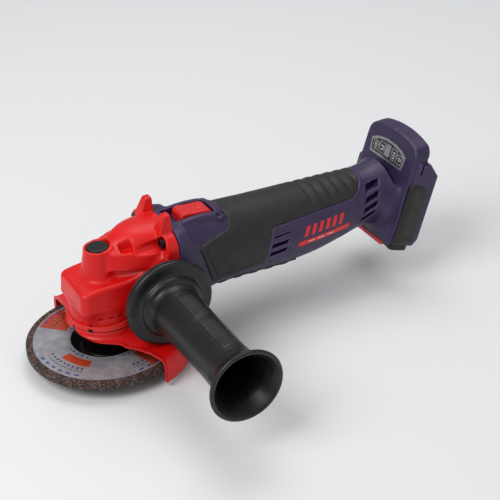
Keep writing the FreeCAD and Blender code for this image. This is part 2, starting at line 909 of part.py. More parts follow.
keep(rotor_shaft(), "rotor_shaft")
keep(cooling_fan(), "cooling_fan")
keep(rotor_core(), "rotor_core")
keep(rotor_windings(), "rotor_windings")
keep(motor_ring(8, "motor_shaft_radius", 118, 8), "commutator")
keep(
    motor_ring(
        "motor_bearing_radius", f"motor_shaft_radius + {FIT}", "front_bearing_start", "front_bearing_width"
    ),
    "front_motor_bearing",
)
keep(
    motor_ring(9.5, f"motor_shaft_radius + {FIT}", "rear_bearing_start", "rear_bearing_width"),
    "rear_motor_bearing",
)
keep(motor_ring("can_radius", "can_radius - 3.5", "can_start", "can_end - can_start"), "motor_can")
keep(magnets(), "magnets")
keep(motor_ring("can_radius", 9.52, "can_end + 0.2", 10), "motor_end_cap")
keep(brush_holder(), "brush_holder")
keep(carbon_brushes(), "carbon_brushes")
keep(motor_ring(27.2, 12, 64.2, 1.5), "air_baffle")

# ---------------------------------------------------------------------------------------------
# Motor housing, handle shells and rubber
# ---------------------------------------------------------------------------------------------

# Round sections of the body behind the motor housing: x, centre height, radius.
BODY_STATIONS = (
    ("shell_start", 72.5, 31.5),
    (130, 71.8, 31.5),
    (158, 71.0, 31.2),
    (182, 71.6, 30.0),
    (206, 73.6, 27.6),
    (228, 75.6, 25.2),
    (241, 76.2, 25.6),
    (250, 75.6, 30.0),
)


def body_loft(inset, first=0, last=len(BODY_STATIONS)):
    """A smooth loft through the body's round sections, drawn in by an inset."""
    circles = []
    for x, height, radius in BODY_STATIONS[first:last]:
        circle = doc.addObject("Part::Circle", "Section")
        circle.setExpression("Radius", linked(f"{radius} - ({inset})"))
        circles.append(place(circle, (x, 0, height), ALONG_X))
    loft = doc.addObject("Part::Loft", "BodyLoft")
    loft.Sections = circles
    loft.Solid = True
    return loft


def round_corners(radius, height):
    """Eight corners that stand for a circle."""
    corner = f"{2 - math.sqrt(2)} * ({radius})"
    return chamfered(radius, f"{height} - ({radius})", f"{height} + ({radius})", corner)


def motor_housing():
    """Tube between the head and the handle, with the raised surround of the slide switch."""
    rim = chamfered("collar_half_width", "collar_bottom", "collar_top", 11)
    collar = chamfered("collar_half_width - 0.5", "collar_bottom + 1", "collar_top - 1.5", 12)
    body = lofted(
        [
            ("housing_start", rim),
            ("housing_start + 9", collar),
            (80, round_corners(32, 72.5)),
            ("housing_end", round_corners(31.5, 72.5)),
        ]
    )
    surround = lofted(
        [
            (57, chamfered(14, 92, 106.5, 3)),
            (64, chamfered(16, 92, 108.5, 3)),
            (88, chamfered(16, 92, 108.5, 3)),
            ("housing_end - 1", chamfered(13, 92, 104, 3)),
        ]
    )
    bore = cylinder(27.6, 60, (50, 0, "motor_height"), ALONG_X)
    slot_side = "slide_half_width + 1.4"
    slot_front = "slide_start - slide_travel - 1.5"
    slot = block((slot_front, f"-({slot_side})", 100.6), ("slide_end + 2", slot_side, 112))
    leg_slot = block(("slide_start + 4", -3.5, 96), ("slide_end - 4", 3.5, 102))
    holes = []
    for side, rise in SCREW_CORNERS:
        spot_z = f"motor_height + {rise} * screw_circle_z"
        holes.append(cylinder(2.1, 11, (50, f"{side} * screw_circle_y", spot_z), ALONG_X))
    return cut(fuse(body, surround), bore, slot, leg_slot, *holes)


def slide_knob():
    """Sliding switch button with a raised front, its foot in the slot and a leg down to the rod."""
    cap = padded(
        [
            ("slide_start", 103),
            ("slide_end", 103),
            ("slide_end", "slide_top - 2.6"),
            ("slide_end - 5", "slide_top - 1.6"),
            ("slide_start + 9", "slide_top - 1"),
            ("slide_start + 4", "slide_top"),
            ("slide_start + 1.2", "slide_top - 0.4"),
            ("slide_start", "slide_top - 2"),
        ],
        "XZ_Plane",
        "-slide_half_width",
        "2 * slide_half_width",
    )
    foot_side = "slide_half_width + 1"
    foot = block(("slide_start - 0.6", f"-({foot_side})", 100.9), ("slide_end + 0.6", foot_side, 103.2))
    leg = block((82, -2.8, 98), (87, 2.8, 101))
    return fuse(cap, foot, leg)


def slide_rod():
    """Flat rod from the slide to the switch."""
    return block((82, -2.8, 96.4), (151, 2.8, 97.9))


def foot_place(across, up, out):
    """A point of the tilted battery foot, in the grinder's frame."""
    return (
        f"foot_x + sin(foot_tilt) * ({up}) + cos(foot_tilt) * ({out})",
        across,
        f"foot_z + cos(foot_tilt) * ({up}) - sin(foot_tilt) * ({out})",
    )


def foot_turn():
    return Rotation(Y_AXIS, value_of("foot_tilt"))


def foot_plate(corners, out, thickness):
    """A plate of the foot: corners are (across, up), padded out of the foot's back."""
    return padded(corners, "YZ_Plane", out, thickness, foot_place(0, 0, 0), foot_turn())


def foot_cheek(corners, start, width):
    """A side wall of the foot: corners are (out, up), padded across."""
    return padded(corners, "XZ_Plane", start, width, foot_place(0, 0, 0), foot_turn())


def arched(half_width, bottom, shoulder, top):
    """A plate whose top is a shallow five-sided arch."""
    w = f"({half_width})"
    return [
        (f"-{w} + 3", bottom),
        (f"{w} - 3", bottom),
        (w, f"{bottom} + 3"),
        (f"{w} + 1", f"{shoulder} - 14"),
        (f"{w} - 2", shoulder),
        (f"{w} * 0.66", f"{top} - 3.6"),
        (f"{w} * 0.25", top),
        (f"-{w} * 0.25", top),
        (f"-{w} * 0.66", f"{top} - 3.6"),
        (f"-{w} + 2", shoulder),
        (f"-{w} - 1", f"{shoulder} - 14"),
        (f"-{w}", f"{bottom} + 3"),
    ]


def battery_foot():
    """Tilted foot: front plate, two cheeks and the rails that the battery slides on."""
    arch = arched("foot_half_width - 2", "foot_bottom", "foot_top - 11", "foot_top")
    plate = foot_plate(arch, "0", "foot_thickness")
    wall_width = "foot_half_width + 1 - cheek_inner"
    side = [
        ("2", "foot_bottom + 3"),
        ("cheek_depth - 4", "foot_bottom + 2"),
        ("cheek_depth", "foot_bottom + 8"),
        ("cheek_depth", "cheek_top - 6"),
        ("foot_thickness + 2", "cheek_top + 4"),
        ("4", "cheek_top + 4"),
    ]
    parts = [plate]
    for side_sign in (-1, 1):
        wall_low = "cheek_inner" if side_sign > 0 else "-foot_half_width - 1"
        wall = foot_cheek(side, f"-({wall_low}) - ({wall_width})", wall_width)
        inside, outside = "cheek_depth - 5", "cheek_depth - 1"
        rail = foot_cheek(
            [(inside, -2), (outside, -2), (outside, 50), (inside, 50)],
            "-cheek_inner - 0.5" if side_sign > 0 else "cheek_inner - 3.5",
            "4",
        )
        parts += [wall, rail]
    return parts


# Where the shells are screwed together: x, z.
SHELL_SCREWS = ((168, 47.5), (212, 55.5), (216, 93.5), (274.5, 121.5))


def shell_halves():
    """Left and right handle shells with the battery foot, split on the middle plane."""
    outer = fuse(body_loft("shell_inset"), *battery_foot())
    bosses = [cylinder(4.4, 60, (x, -30, z), ALONG_Y) for x, z in SHELL_SCREWS]
    cavity = cut(body_loft("cavity_inset", last=7), *bosses)
    pocket = foot_plate([(-27, -4), (27, -4), (27, 68), (-27, 68)], "3", "8")
    link = cylinder(17, 24, (236, 0, 76), ALONG_X)
    window = foot_plate([(-9, 55.5), (9, 55.5), (9, 67.9), (-9, 67.9)], "-3", "8")
    front_trim = cylinder(60, 40, (64, 0, 72), ALONG_X)
    hollow = cut(outer, cavity, pocket, link, window, front_trim, *screw_holes())
    halves = []
    for low, high in (("0.02", 60), (-60, "-0.02")):
        halves.append(common(hollow, block((90, low, 0), (320, high, 150))))
    return halves


def screw_holes():
    return [cylinder(1.9, 60, (x, -30, z), ALONG_Y) for x, z in SHELL_SCREWS]


def shell_screws():
    screws = []
    for x, z in SHELL_SCREWS:
        shank = cylinder(1.8, 20, (x, -10, z), ALONG_Y)
        head = cylinder(1.85, 2, (x, 9.9, z), ALONG_Y)
        screws.append(fuse(shank, head))
    return group(*screws)


def rubber_halves():
    """Soft grip moulded over both shells; its side is cut away round the plain panel."""
    front_trim = cylinder(60, 14, (90, 0, 72), ALONG_X)
    strip_bed = block((105.6, -9.4, 30), (164.4, 9.4, 60))
    sleeve = cut(body_loft("0"), body_loft(f"shell_inset - {GRIP_GAP}"), front_trim, strip_bed)
    panel = [(112, 20), (128, 43), (137, 85.5), (140, 87), (216, 88), (224, 84), (232, 60), (236, 20)]
    window = padded(panel, "XZ_Plane", "-50", "100")
    skin = cut(sleeve, window)
    halves = []
    for low, high in (("0.02", 60), (-60, "-0.02")):
        halves.append(common(skin, block((100, low, 0), (231, high, 150))))
    return halves


left_shell, right_shell = shell_halves()
left_rubber, right_rubber = rubber_halves()
keep(motor_housing(), "motor_housing")
keep(slide_knob(), "slide_knob")
keep(slide_rod(), "slide_rod")
keep(left_shell, "left_shell")
keep(right_shell, "right_shell")
keep(left_rubber, "left_grip_rubber")
keep(right_rubber, "right_grip_rubber")
keep(shell_screws(), "shell_screws")

# ---------------------------------------------------------------------------------------------
# Switch, electronics and trim
# ---------------------------------------------------------------------------------------------


def under_strip():
    """Rubber strip along the bottom of the body."""
    sleeve = cut(body_loft("-0.6"), body_loft(f"shell_inset - {GRIP_GAP}"))
    return common(sleeve, block((106, -9, 30), (164, 9, 60)))


def switch_block():
    """Snap switch behind the motor, worked by the slide rod."""
    case = block((152.5, -8, 84.5), (176, 8, 95.8))
    terminals = [block((176, y - 1.5, 87), (182, y + 1.5, 88)) for y in (-4, 4)]
    return fuse(case, *terminals)


def controller():
    """Potted control board in the rear of the handle."""
    board = block((188, -14, 66), (226, 14, 68))
    coolers = [block((x, -11, 68), (x + 9, 11, 76)) for x in (190, 202, 214)]
    return fuse(board, *coolers)


def label_outline(grow):
    """The label on the foot's front face: flat below, arched above."""
    right = [(22.5, 63), (15, 66.6), (5, 68.6)]
    left = [(-across, up) for across, up in reversed(right)]
    arch = []
    for across, up in right + left:
        sign = 1 if across > 0 else -1
        arch.append((f"{across} + {sign} * {grow}", f"{up} + {grow}"))
    foot_line = [(f"-21 - {grow}", f"55 - {grow}"), (f"21 + {grow}", f"55 - {grow}")]
    return foot_line + arch


BUTTON_SPAN = ((-3.4, 56.8), (3.4, 56.8), (3.4, 66.8), (-3.4, 66.8))
BUTTON_HOLE = ((-3.7, 56.5), (3.7, 56.5), (3.7, 67.1), (-3.7, 67.1))


def label_plate():
    """Black label plate with the hole for the charge button."""
    plate = foot_plate(label_outline(0), "-1.2", "1.15")
    return cut(plate, foot_plate(BUTTON_HOLE, "-3", "6"))


def label_frame():
    rim = foot_plate(label_outline(1.8), "-1.6", "1.55")
    return cut(rim, foot_plate(label_outline(0.05), "-3", "6"))


def charge_button():
    """Push button of the charge gauge, in the middle of the label."""
    cap = foot_plate(BUTTON_SPAN, "-1.8", "3.6")
    foot = foot_plate([(-5, 55.8), (5, 55.8), (5, 67.6), (-5, 67.6)], "1.6", "0.8")
    return fuse(cap, foot)


def gauge_board():
    """Small board behind the charge button."""
    return foot_plate([(-20, 20), (20, 20), (20, 67), (-20, 67)], "4", "1.6")


def terminal_block():
    """Insulated block on the foot's back, between the rails."""
    return foot_plate([(-20, 6), (20, 6), (20, 46), (-20, 46)], "foot_thickness + 0.05", "7")


def terminal_blades():
    """Four flat contact blades that the battery's sockets grip."""
    blades = []
    for across in (-14, -5, 5, 14):
        corners = [
            ("foot_thickness + 7.1", 12),
            ("foot_thickness + 12", 12),
            ("foot_thickness + 12", 36),
            ("foot_thickness + 7.1", 36),
        ]
        blades.append(foot_cheek(corners, f"{across} - 0.4", "0.8"))
    return group(*blades)


def side_pad(side):
    """Bumper of soft rubber on the foot's side."""
    outline_corners = [
        ("1", -6),
        ("cheek_depth - 4", -7),
        ("cheek_depth - 4", 38),
        ("cheek_depth - 10", 45),
        ("5", 47),
        ("1", 43),
    ]
    start = "-(foot_half_width + 1) - 2.6" if side > 0 else "foot_half_width + 1.05"
    return foot_cheek(outline_corners, start, "2.55")


def sole_pad():
    """Rubber bumper under the foot."""
    return foot_plate([(-31, -14), (31, -14), (31, -10.05), (-31, -10.05)], "3", "9")


def foot_trim():
    """Bright strip along the foot's lower front edge."""
    return foot_plate([(-24, -13), (24, -13), (24, -10.05), (-24, -10.05)], "0.3", "2.4")


keep(under_strip(), "under_strip")
keep(switch_block(), "switch_block")
keep(controller(), "controller")
keep(label_plate(), "label_plate")
keep(label_frame(), "label_frame")
keep(charge_button(), "charge_button")
keep(gauge_board(), "gauge_board")
keep(terminal_block(), "terminal_block")
keep(terminal_blades(), "terminal_blades")
keep(side_pad(1), "left_side_pad")
keep(side_pad(-1), "right_side_pad")
keep(sole_pad(), "sole_pad")
keep(foot_trim(), "foot_trim")

# ---------------------------------------------------------------------------------------------
# Check and export
# ---------------------------------------------------------------------------------------------

doc.recompute()
for item in doc.Objects:
    if {"Invalid", "Error"} & set(item.State):
        raise RuntimeError(f"{item.Label} failed: {item.State}")
for item in kept:
    if item.Shape.isNull() or not item.Shape.isValid():
        raise RuntimeError(f"{item.Label} has no valid shape")
for item in kept:
    item.Shape.exportStep(f"parts/{item.Label}.step")
print(f"{len(kept)} sub-parts written")
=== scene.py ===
# %% [markdown]
# # Cordless angle grinder
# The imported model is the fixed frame: it says where every part is and what moves. This file only gives
# the object its looks. Everything is in metres in Blender, but a workshop drawing is in millimetres, so
# the shapes below are worked out in millimetres and scaled by MM when their meshes are made.

# %% Frame
import json
import math

import bmesh
import bpy
import numpy as np
from mathutils import Euler, Matrix, Vector


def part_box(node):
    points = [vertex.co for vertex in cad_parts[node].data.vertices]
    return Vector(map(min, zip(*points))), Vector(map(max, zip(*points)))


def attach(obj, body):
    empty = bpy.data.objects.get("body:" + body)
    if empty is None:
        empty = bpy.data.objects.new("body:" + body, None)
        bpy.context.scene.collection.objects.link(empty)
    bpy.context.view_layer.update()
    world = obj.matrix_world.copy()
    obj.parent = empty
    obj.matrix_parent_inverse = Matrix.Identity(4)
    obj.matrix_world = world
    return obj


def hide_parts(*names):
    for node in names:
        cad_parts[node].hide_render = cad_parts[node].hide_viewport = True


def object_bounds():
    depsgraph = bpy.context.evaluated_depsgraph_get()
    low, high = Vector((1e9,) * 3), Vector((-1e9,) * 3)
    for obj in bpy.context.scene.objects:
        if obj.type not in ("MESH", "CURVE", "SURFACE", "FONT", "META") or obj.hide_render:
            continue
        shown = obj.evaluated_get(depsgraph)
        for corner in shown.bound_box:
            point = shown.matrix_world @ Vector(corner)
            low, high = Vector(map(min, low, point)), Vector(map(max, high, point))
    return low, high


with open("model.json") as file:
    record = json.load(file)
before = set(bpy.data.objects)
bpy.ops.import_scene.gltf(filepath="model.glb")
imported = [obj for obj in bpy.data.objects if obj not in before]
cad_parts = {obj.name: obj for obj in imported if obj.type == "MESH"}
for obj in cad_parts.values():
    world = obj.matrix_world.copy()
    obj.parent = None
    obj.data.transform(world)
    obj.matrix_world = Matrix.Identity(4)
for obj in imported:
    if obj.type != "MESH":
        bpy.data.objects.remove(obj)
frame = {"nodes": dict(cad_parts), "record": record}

MM = 0.001
box_low, box_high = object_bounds()
print("CAD box, mm:", [round(v / MM, 1) for v in (*box_low, *box_high)])


def span(node):
    """Lowest and highest corner of a CAD node, in millimetres, as two arrays."""
    low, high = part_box(node)
    return np.array(low) / MM, np.array(high) / MM


# %% [markdown]
# ## Camera, floor and light
# The camera looks down on the tool from the front left, a little tilted, through a long lens, so that
# parallel edges stay nearly parallel. The floor is one pale plane under the lowest point of the spindle.
# Three large square panels stand in for a studio's softboxes: a key, a fill and one overhead
# that draws the bright line along the handle.

# %% Camera
CAMERA_AIM = Vector((85, -85, 113.7)) * MM
CAMERA_DISTANCE = 1.0
CAMERA_AZIMUTH, CAMERA_ELEVATION, CAMERA_ROLL = -28.32, 31.41, -1.37
CAMERA_LENS = 98.89


def facing(azimuth, elevation, roll=0.0):
    """Turn of a camera that stands at this azimuth and elevation, in degrees, and looks at its aim."""
    turn = Euler((math.radians(90 - elevation), 0, math.radians(azimuth))).to_matrix()
    return turn @ Matrix.Rotation(math.radians(roll), 3, "Z")


camera_data = bpy.data.cameras.new("camera")
camera_data.lens = CAMERA_LENS
camera = bpy.data.objects.new("camera", camera_data)
camera_turn = facing(CAMERA_AZIMUTH, CAMERA_ELEVATION, CAMERA_ROLL)
camera.matrix_world = Matrix.Translation(
    CAMERA_AIM + camera_turn @ Vector((0, 0, CAMERA_DISTANCE))
) @ camera_turn.to_4x4()
bpy.context.scene.collection.objects.link(camera)
bpy.context.scene.camera = camera
bpy.context.scene.view_settings.view_transform = "Standard"
print("camera at", [round(v, 3) for v in camera.location])

# %% Floor and lights
FLOOR_SIZE = 14.0


def add_panel(name, azimuth, elevation, distance, size, power, aim=(120, 0, 70)):
    """A square soft light that faces its aim from an azimuth and an elevation."""
    data = bpy.data.lights.new(name, "AREA")
    data.shape = "SQUARE"
    data.size = size
    data.energy = power
    item = bpy.data.objects.new(name, data)
    turn = facing(azimuth, elevation)
    item.matrix_world = Matrix.Translation(
        Vector(aim) * MM + turn @ Vector((0, 0, distance))
    ) @ turn.to_4x4()
    bpy.context.scene.collection.objects.link(item)


add_panel("key", azimuth=-75, elevation=48, distance=1.6, size=0.9, power=13)
add_panel("fill", azimuth=35, elevation=25, distance=2.2, size=1.6, power=4)
add_panel("overhead", azimuth=150, elevation=68, distance=1.6, size=1.0, power=9)

world = bpy.data.worlds.new("studio")
bpy.context.scene.world = world
world.use_nodes = True
world_nodes, world_links = world.node_tree.nodes, world.node_tree.links
soft_sky = world_nodes["Background"]
soft_sky.inputs["Color"].default_value = (0.95, 0.97, 1.0, 1)
soft_sky.inputs["Strength"].default_value = 0.36
white_wall = world_nodes.new("ShaderNodeBackground")
white_wall.inputs["Color"].default_value = (1, 1, 1, 1)
either = world_nodes.new("ShaderNodeMixShader")
world_links.new(world_nodes.new("ShaderNodeLightPath").outputs["Is Camera Ray"], either.inputs["Fac"])
world_links.new(soft_sky.outputs["Background"], either.inputs[1])
world_links.new(white_wall.outputs["Background"], either.inputs[2])
world_links.new(either.outputs["Shader"], world_nodes["World Output"].inputs["Surface"])

# %% [markdown]
# ## Materials
# Nearly every finish on a power tool is a plain colour that is not quite even: moulded plastic has a
# fine spark-eroded grain and slightly different gloss from place to place, and castings have orange peel.
# Raised edges also get a painted highlight: a lighter colour laid on them that stands in for the light
# they catch. One node group, `finish_variation`, works out those varying colours, the painted edge
# highlight, roughnesses and normals from the object's own coordinates. Each material gives the group its
# own values and keeps its shader outside it.

# %% Node helpers
def tone(hex_code):
    """A colour written as on a paint card (sRGB hex), as the linear RGBA that a shader reads."""
    values = np.array([int(hex_code[i : i + 2], 16) for i in (0, 2, 4)]) / 255
    linear = np.where(values <= 0.04045, values / 12.92, ((values + 0.055) / 1.055) ** 2.4)
    return (*linear, 1.0)


def add_node(tree, kind, **settings):
    node = tree.nodes.new(kind)
    for key, value in settings.items():
        setattr(node, key, value)
    return node


def join_up(tree, *pairs):
    for start, end in pairs:
        tree.links.new(start, end)


def calc(tree, operation, first, second=None, third=None, clamp=False):
    """A Math node on two or three values, each of them a socket or a number; gives its output."""
    node = add_node(tree, "ShaderNodeMath", operation=operation, use_clamp=clamp)
    for socket, value in zip(node.inputs, (first, second, third)):
        if value is None:
            continue
        if isinstance(value, (int, float)):
            socket.default_value = value
        else:
            tree.links.new(value, socket)
    return node.outputs[0]


def remap(tree, value, low, high, to_low=0.0, to_high=1.0):
    """Stretches a value from low..high to to_low..to_high, held at both ends."""
    node = add_node(tree, "ShaderNodeMapRange", clamp=True)
    tree.links.new(value, node.inputs["Value"])
    for key, number in (("From Min", low), ("From Max", high), ("To Min", to_low), ("To Max", to_high)):
        if isinstance(number, (int, float)):
            node.inputs[key].default_value = number
        else:
            tree.links.new(number, node.inputs[key])
    return node.outputs["Result"]


def blended(tree, factor, first, second):
    """Mixes two colours, each a socket or an RGBA."""
    node = add_node(tree, "ShaderNodeMix", data_type="RGBA")
    tree.links.new(factor, node.inputs["Factor"])
    for name, value in (("A", first), ("B", second)):
        socket = next(s for s in node.inputs if s.name == name and s.type == "RGBA")
        if isinstance(value, tuple):
            socket.default_value = value
        else:
            tree.links.new(value, socket)
    return next(s for s in node.outputs if s.type == "RGBA")


def noise(tree, coordinates, scale, detail=3.0):
    node = add_node(tree, "ShaderNodeTexNoise")
    node.inputs["Detail"].default_value = detail
    tree.links.new(coordinates, node.inputs["Vector"])
    if isinstance(scale, (int, float)):
        node.inputs["Scale"].default_value = scale
    else:
        tree.links.new(scale, node.inputs["Scale"])
    return node.outputs["Fac"]


# %% Shared node group
def build_variation():
    """Group: two close colours mottled together, a painted highlight colour laid on raised edges, uneven
    gloss and fine grain.
    """
    tree = bpy.data.node_groups.new("finish_variation", "ShaderNodeTree")
    for name, kind, default in (
        ("Colour", "NodeSocketColor", (0.5, 0.5, 0.5, 1)),
        ("Second Colour", "NodeSocketColor", (0.5, 0.5, 0.5, 1)),
        ("Edge Highlight Colour", "NodeSocketColor", (0.6, 0.6, 0.6, 1)),
        ("Edge Highlight Strength", "NodeSocketFloat", 0.0),
        ("Mottle Scale", "NodeSocketFloat", 60.0),
        ("Grain Scale", "NodeSocketFloat", 1500.0),
        ("Grain Depth", "NodeSocketFloat", 0.00002),
        ("Smoothest", "NodeSocketFloat", 0.3),
        ("Roughest", "NodeSocketFloat", 0.45),
    ):
        socket = tree.interface.new_socket(name, in_out="INPUT", socket_type=kind)
        socket.default_value = default
    for name, kind in (
        ("Colour", "NodeSocketColor"), ("Roughness", "NodeSocketFloat"), ("Normal", "NodeSocketVector"),
    ):
        tree.interface.new_socket(name, in_out="OUTPUT", socket_type=kind)
    given = add_node(tree, "NodeGroupInput").outputs
    result = add_node(tree, "NodeGroupOutput").inputs
    place = add_node(tree, "ShaderNodeTexCoord").outputs["Object"]
    mottle = noise(tree, place, given["Mottle Scale"])
    colour = blended(tree, remap(tree, mottle, 0.35, 0.65), given["Colour"], given["Second Colour"])
    # Painted highlight: where the surface is sharply convex (high pointiness), the lighter edge colour is
    # mixed in, in patches, standing in for the light that raised edges catch.
    pointiness = add_node(tree, "ShaderNodeNewGeometry").outputs["Pointiness"]
    ridge = remap(tree, pointiness, 0.515, 0.58)
    painted_edge_highlight = calc(tree, "MULTIPLY", ridge, given["Edge Highlight Strength"])
    patchy_edge_highlight = calc(tree, "MULTIPLY", painted_edge_highlight, remap(tree, mottle, 0.3, 0.6, 0.4, 1.0))
    gloss = noise(tree, place, calc(tree, "MULTIPLY", given["Mottle Scale"], 2.3), detail=5.0)
    rough = remap(tree, gloss, 0.3, 0.7, given["Smoothest"], given["Roughest"])
    grain = noise(tree, place, given["Grain Scale"], detail=2.0)
    bump = add_node(tree, "ShaderNodeBump")
    bump.inputs["Strength"].default_value = 1.0
    join_up(
        tree,
        (grain, bump.inputs["Height"]),
        (given["Grain Depth"], bump.inputs["Distance"]),
        (bump.outputs["Normal"], result["Normal"]),
        (blended(tree, patchy_edge_highlight, colour, given["Edge Highlight Colour"]), result["Colour"]),
        (rough, result["Roughness"]),
    )
    return tree


VARIATION = build_variation()
materials = {}


def new_material(name, metallic=0.0, coat=0.0, coat_roughness=0.1, specular=0.5):
    """An empty material with a Principled shader whose even values are set on its own sockets."""
    material = bpy.data.materials.new(name)
    material.use_nodes = True
    shader = material.node_tree.nodes["Principled BSDF"]
    shader.inputs["Metallic"].default_value = metallic
    shader.inputs["Coat Weight"].default_value = coat
    shader.inputs["Coat Roughness"].default_value = coat_roughness
    shader.inputs["Specular IOR Level"].default_value = specular
    materials[name] = material
    return material.node_tree, shader


def varied(tree, first, second, edge, edge_highlight_strength, mottle, grain, depth, gloss):
    """One finish_variation group in a material, with this finish's own values."""
    group = add_node(tree, "ShaderNodeGroup", node_tree=VARIATION)
    for key, value in (
        ("Colour", first), ("Second Colour", second), ("Edge Highlight Colour", edge), ("Edge Highlight Strength", edge_highlight_strength),
        ("Mottle Scale", mottle), ("Grain Scale", grain), ("Grain Depth", depth),
        ("Smoothest", gloss[0]), ("Roughest", gloss[1]),
    ):
        group.inputs[key].default_value = value
    return group


def finish(
    name, first, second, gloss, edge=None, edge_highlight_strength=0.0, mottle=60, grain=1500, depth=2e-5, **shader_values
):
    """A finish made only of the shared variation: colours are paint-card codes."""
    tree, shader = new_material(name, **shader_values)
    group = varied(tree, tone(first), tone(second), tone(edge or first), edge_highlight_strength, mottle, grain, depth, gloss)
    for key, socket in (("Colour", "Base Color"), ("Roughness", "Roughness"), ("Normal", "Normal")):
        tree.links.new(group.outputs[key], shader.inputs[socket])


# %% [markdown]
# ### The finishes
# The gear head is cast alloy under a glossy red powder coat, so it has a soft orange peel and a thin
# clear-looking coat. The housing is violet glass-filled nylon with a spark-eroded satin grain. The
# rubber is a dull charcoal and the side handle a blacker, slightly shinier plastic.

# %% Finishes
# Each finish's edge colour and its strength paint a highlight onto its raised edges.
finish("red_casting", "e20808", "d60506", (0.36, 0.48), edge="f2463c", edge_highlight_strength=0.5,
       mottle=40, grain=900, depth=3e-5, coat=0.1, coat_roughness=0.25, specular=0.35)
finish("red_steel", "e20a0a", "d60708", (0.34, 0.46), edge="f0554c", edge_highlight_strength=0.5,
       mottle=50, grain=1200, depth=2e-5, coat=0.1, coat_roughness=0.25, specular=0.35)
finish("red_plastic", "e01614", "d4100f", (0.34, 0.46), edge="ee5148", edge_highlight_strength=0.4,
       mottle=80, grain=2500, depth=1.5e-5)
finish("purple_plastic", "35244d", "2d1e43", (0.36, 0.5), edge="7b6b99", edge_highlight_strength=0.45,
       mottle=60, grain=2600, depth=2.5e-5)
finish("soft_rubber", "1f1f1d", "191918", (0.5, 0.66), edge="454543", edge_highlight_strength=0.3,
       mottle=70, grain=3000, depth=4e-5)
finish("grip_plastic", "0d0d0d", "09090a", (0.32, 0.46), edge="3a3a3a", edge_highlight_strength=0.35,
       mottle=70, grain=2400, depth=3e-5)
finish("black_plastic", "121213", "0d0d0e", (0.4, 0.55), edge="3c3c3c", edge_highlight_strength=0.3,
       mottle=80, grain=2800, depth=3e-5)
finish("black_steel", "26272a", "1c1d1f", (0.26, 0.42), mottle=120, grain=2000, depth=1e-5, metallic=0.85)
finish("bright_steel", "b9bbbf", "a5a7ab", (0.16, 0.34), mottle=150, grain=1800, depth=1e-5, metallic=1.0)
finish("gear_steel", "85868a", "6f7074", (0.28, 0.45), mottle=140, grain=1500, depth=2e-5, metallic=1.0)
finish("bearing_steel", "c3c5c8", "b1b3b7", (0.12, 0.25), mottle=100, grain=2500, depth=5e-6, metallic=1.0)
finish("spring_steel", "7f8286", "6a6d71", (0.25, 0.4), mottle=160, grain=2000, depth=1e-5, metallic=1.0)
finish("zinc_steel", "b4b6b1", "a3a59a", (0.24, 0.42), mottle=140, grain=1500, depth=1e-5, metallic=1.0)
finish("lamination", "6c6a66", "54524f", (0.4, 0.6), mottle=300, grain=2600, depth=3e-5, metallic=0.9)
finish("copper", "c27a4a", "a96338", (0.25, 0.45), mottle=220, grain=1400, depth=4e-5, metallic=1.0)
finish("brass", "c9a85a", "b08f45", (0.22, 0.4), mottle=160, grain=1600, depth=1e-5, metallic=1.0)
finish("ferrite", "3a3b3e", "2c2d30", (0.5, 0.7), mottle=200, grain=1400, depth=4e-5, metallic=0.2)
finish("silver_trim", "a7a9ab", "96989b", (0.26, 0.42), mottle=200, grain=2500, depth=1e-5, metallic=0.75)
finish("label_black", "17181a", "101113", (0.3, 0.42), mottle=150, grain=2600, depth=5e-6, coat=0.3)
finish("grey_key", "8b8d90", "7b7d81", (0.35, 0.5), mottle=150, grain=2600, depth=1e-5)
finish("board", "1f5a3a", "184a2f", (0.35, 0.5), mottle=180, grain=1800, depth=2e-5)
finish("decal_red", "ea1c1c", "de1616", (0.3, 0.4), mottle=150, grain=2600, depth=5e-6)
finish("decal_white", "d9dadc", "c6c8cb", (0.35, 0.45), mottle=200, grain=2600, depth=5e-6)
print(len(materials), "plain finishes")

# %% [markdown]
# ### Abrasive and disc label
# The rim of the disc is pressed grit in resin: dark brown with grey and rusty grains, which is a fine
# Voronoi pattern. The label is printed on silver-grey mesh. Its print is drawn from polar coordinates
# about the spindle: four orange bars, rows of dark dashes that stand for small print, and blue dashes.

# %% Abrasive and label
tree, shader = new_material("abrasive", specular=0.4)
place = add_node(tree, "ShaderNodeTexCoord").outputs["Object"]
grit = add_node(tree, "ShaderNodeTexVoronoi")
grit.inputs["Scale"].default_value = 900
tree.links.new(place, grit.inputs["Vector"])
grit_value = add_node(tree, "ShaderNodeSeparateColor")
tree.links.new(grit.outputs["Color"], grit_value.inputs["Color"])
dark = blended(tree, remap(tree, grit_value.outputs["Red"], 0.55, 0.95), tone("2a201d"), tone("6e625c"))
rust = blended(tree, remap(tree, grit_value.outputs["Green"], 0.8, 0.95), dark, tone("6a3527"))
flat_place = add_node(tree, "ShaderNodeVectorMath", operation="MULTIPLY")
flat_place.inputs[1].default_value = (1, 1, 0)
tree.links.new(place, flat_place.inputs[0])
from_axis = add_node(tree, "ShaderNodeVectorMath", operation="LENGTH")
tree.links.new(flat_place.outputs["Vector"], from_axis.inputs[0])
# Painted shade: within about 29 mm of the spindle the unlabelled dish is coloured near-black (141210),
# standing in for the shade that the guard casts over it.
dish_painted_shade = remap(tree, from_axis.outputs["Value"], 0.0285, 0.0305)
tree.links.new(blended(tree, dish_painted_shade, tone("141210"), rust), shader.inputs["Base Color"])
tree.links.new(remap(tree, grit_value.outputs["Blue"], 0, 1, 0.45, 0.85), shader.inputs["Roughness"])
rough_skin = add_node(tree, "ShaderNodeBump")
rough_skin.inputs["Strength"].default_value = 0.8
rough_skin.inputs["Distance"].default_value = 0.0003
tree.links.new(grit.outputs["Distance"], rough_skin.inputs["Height"])
tree.links.new(rough_skin.outputs["Normal"], shader.inputs["Normal"])


def band(tree, value, low, high, soft):
    """1 between two values, 0 outside, with soft ends."""
    rise = remap(tree, value, low - soft, low + soft)
    fall = remap(tree, value, high - soft, high + soft, 1.0, 0.0)
    return calc(tree, "MULTIPLY", rise, fall)


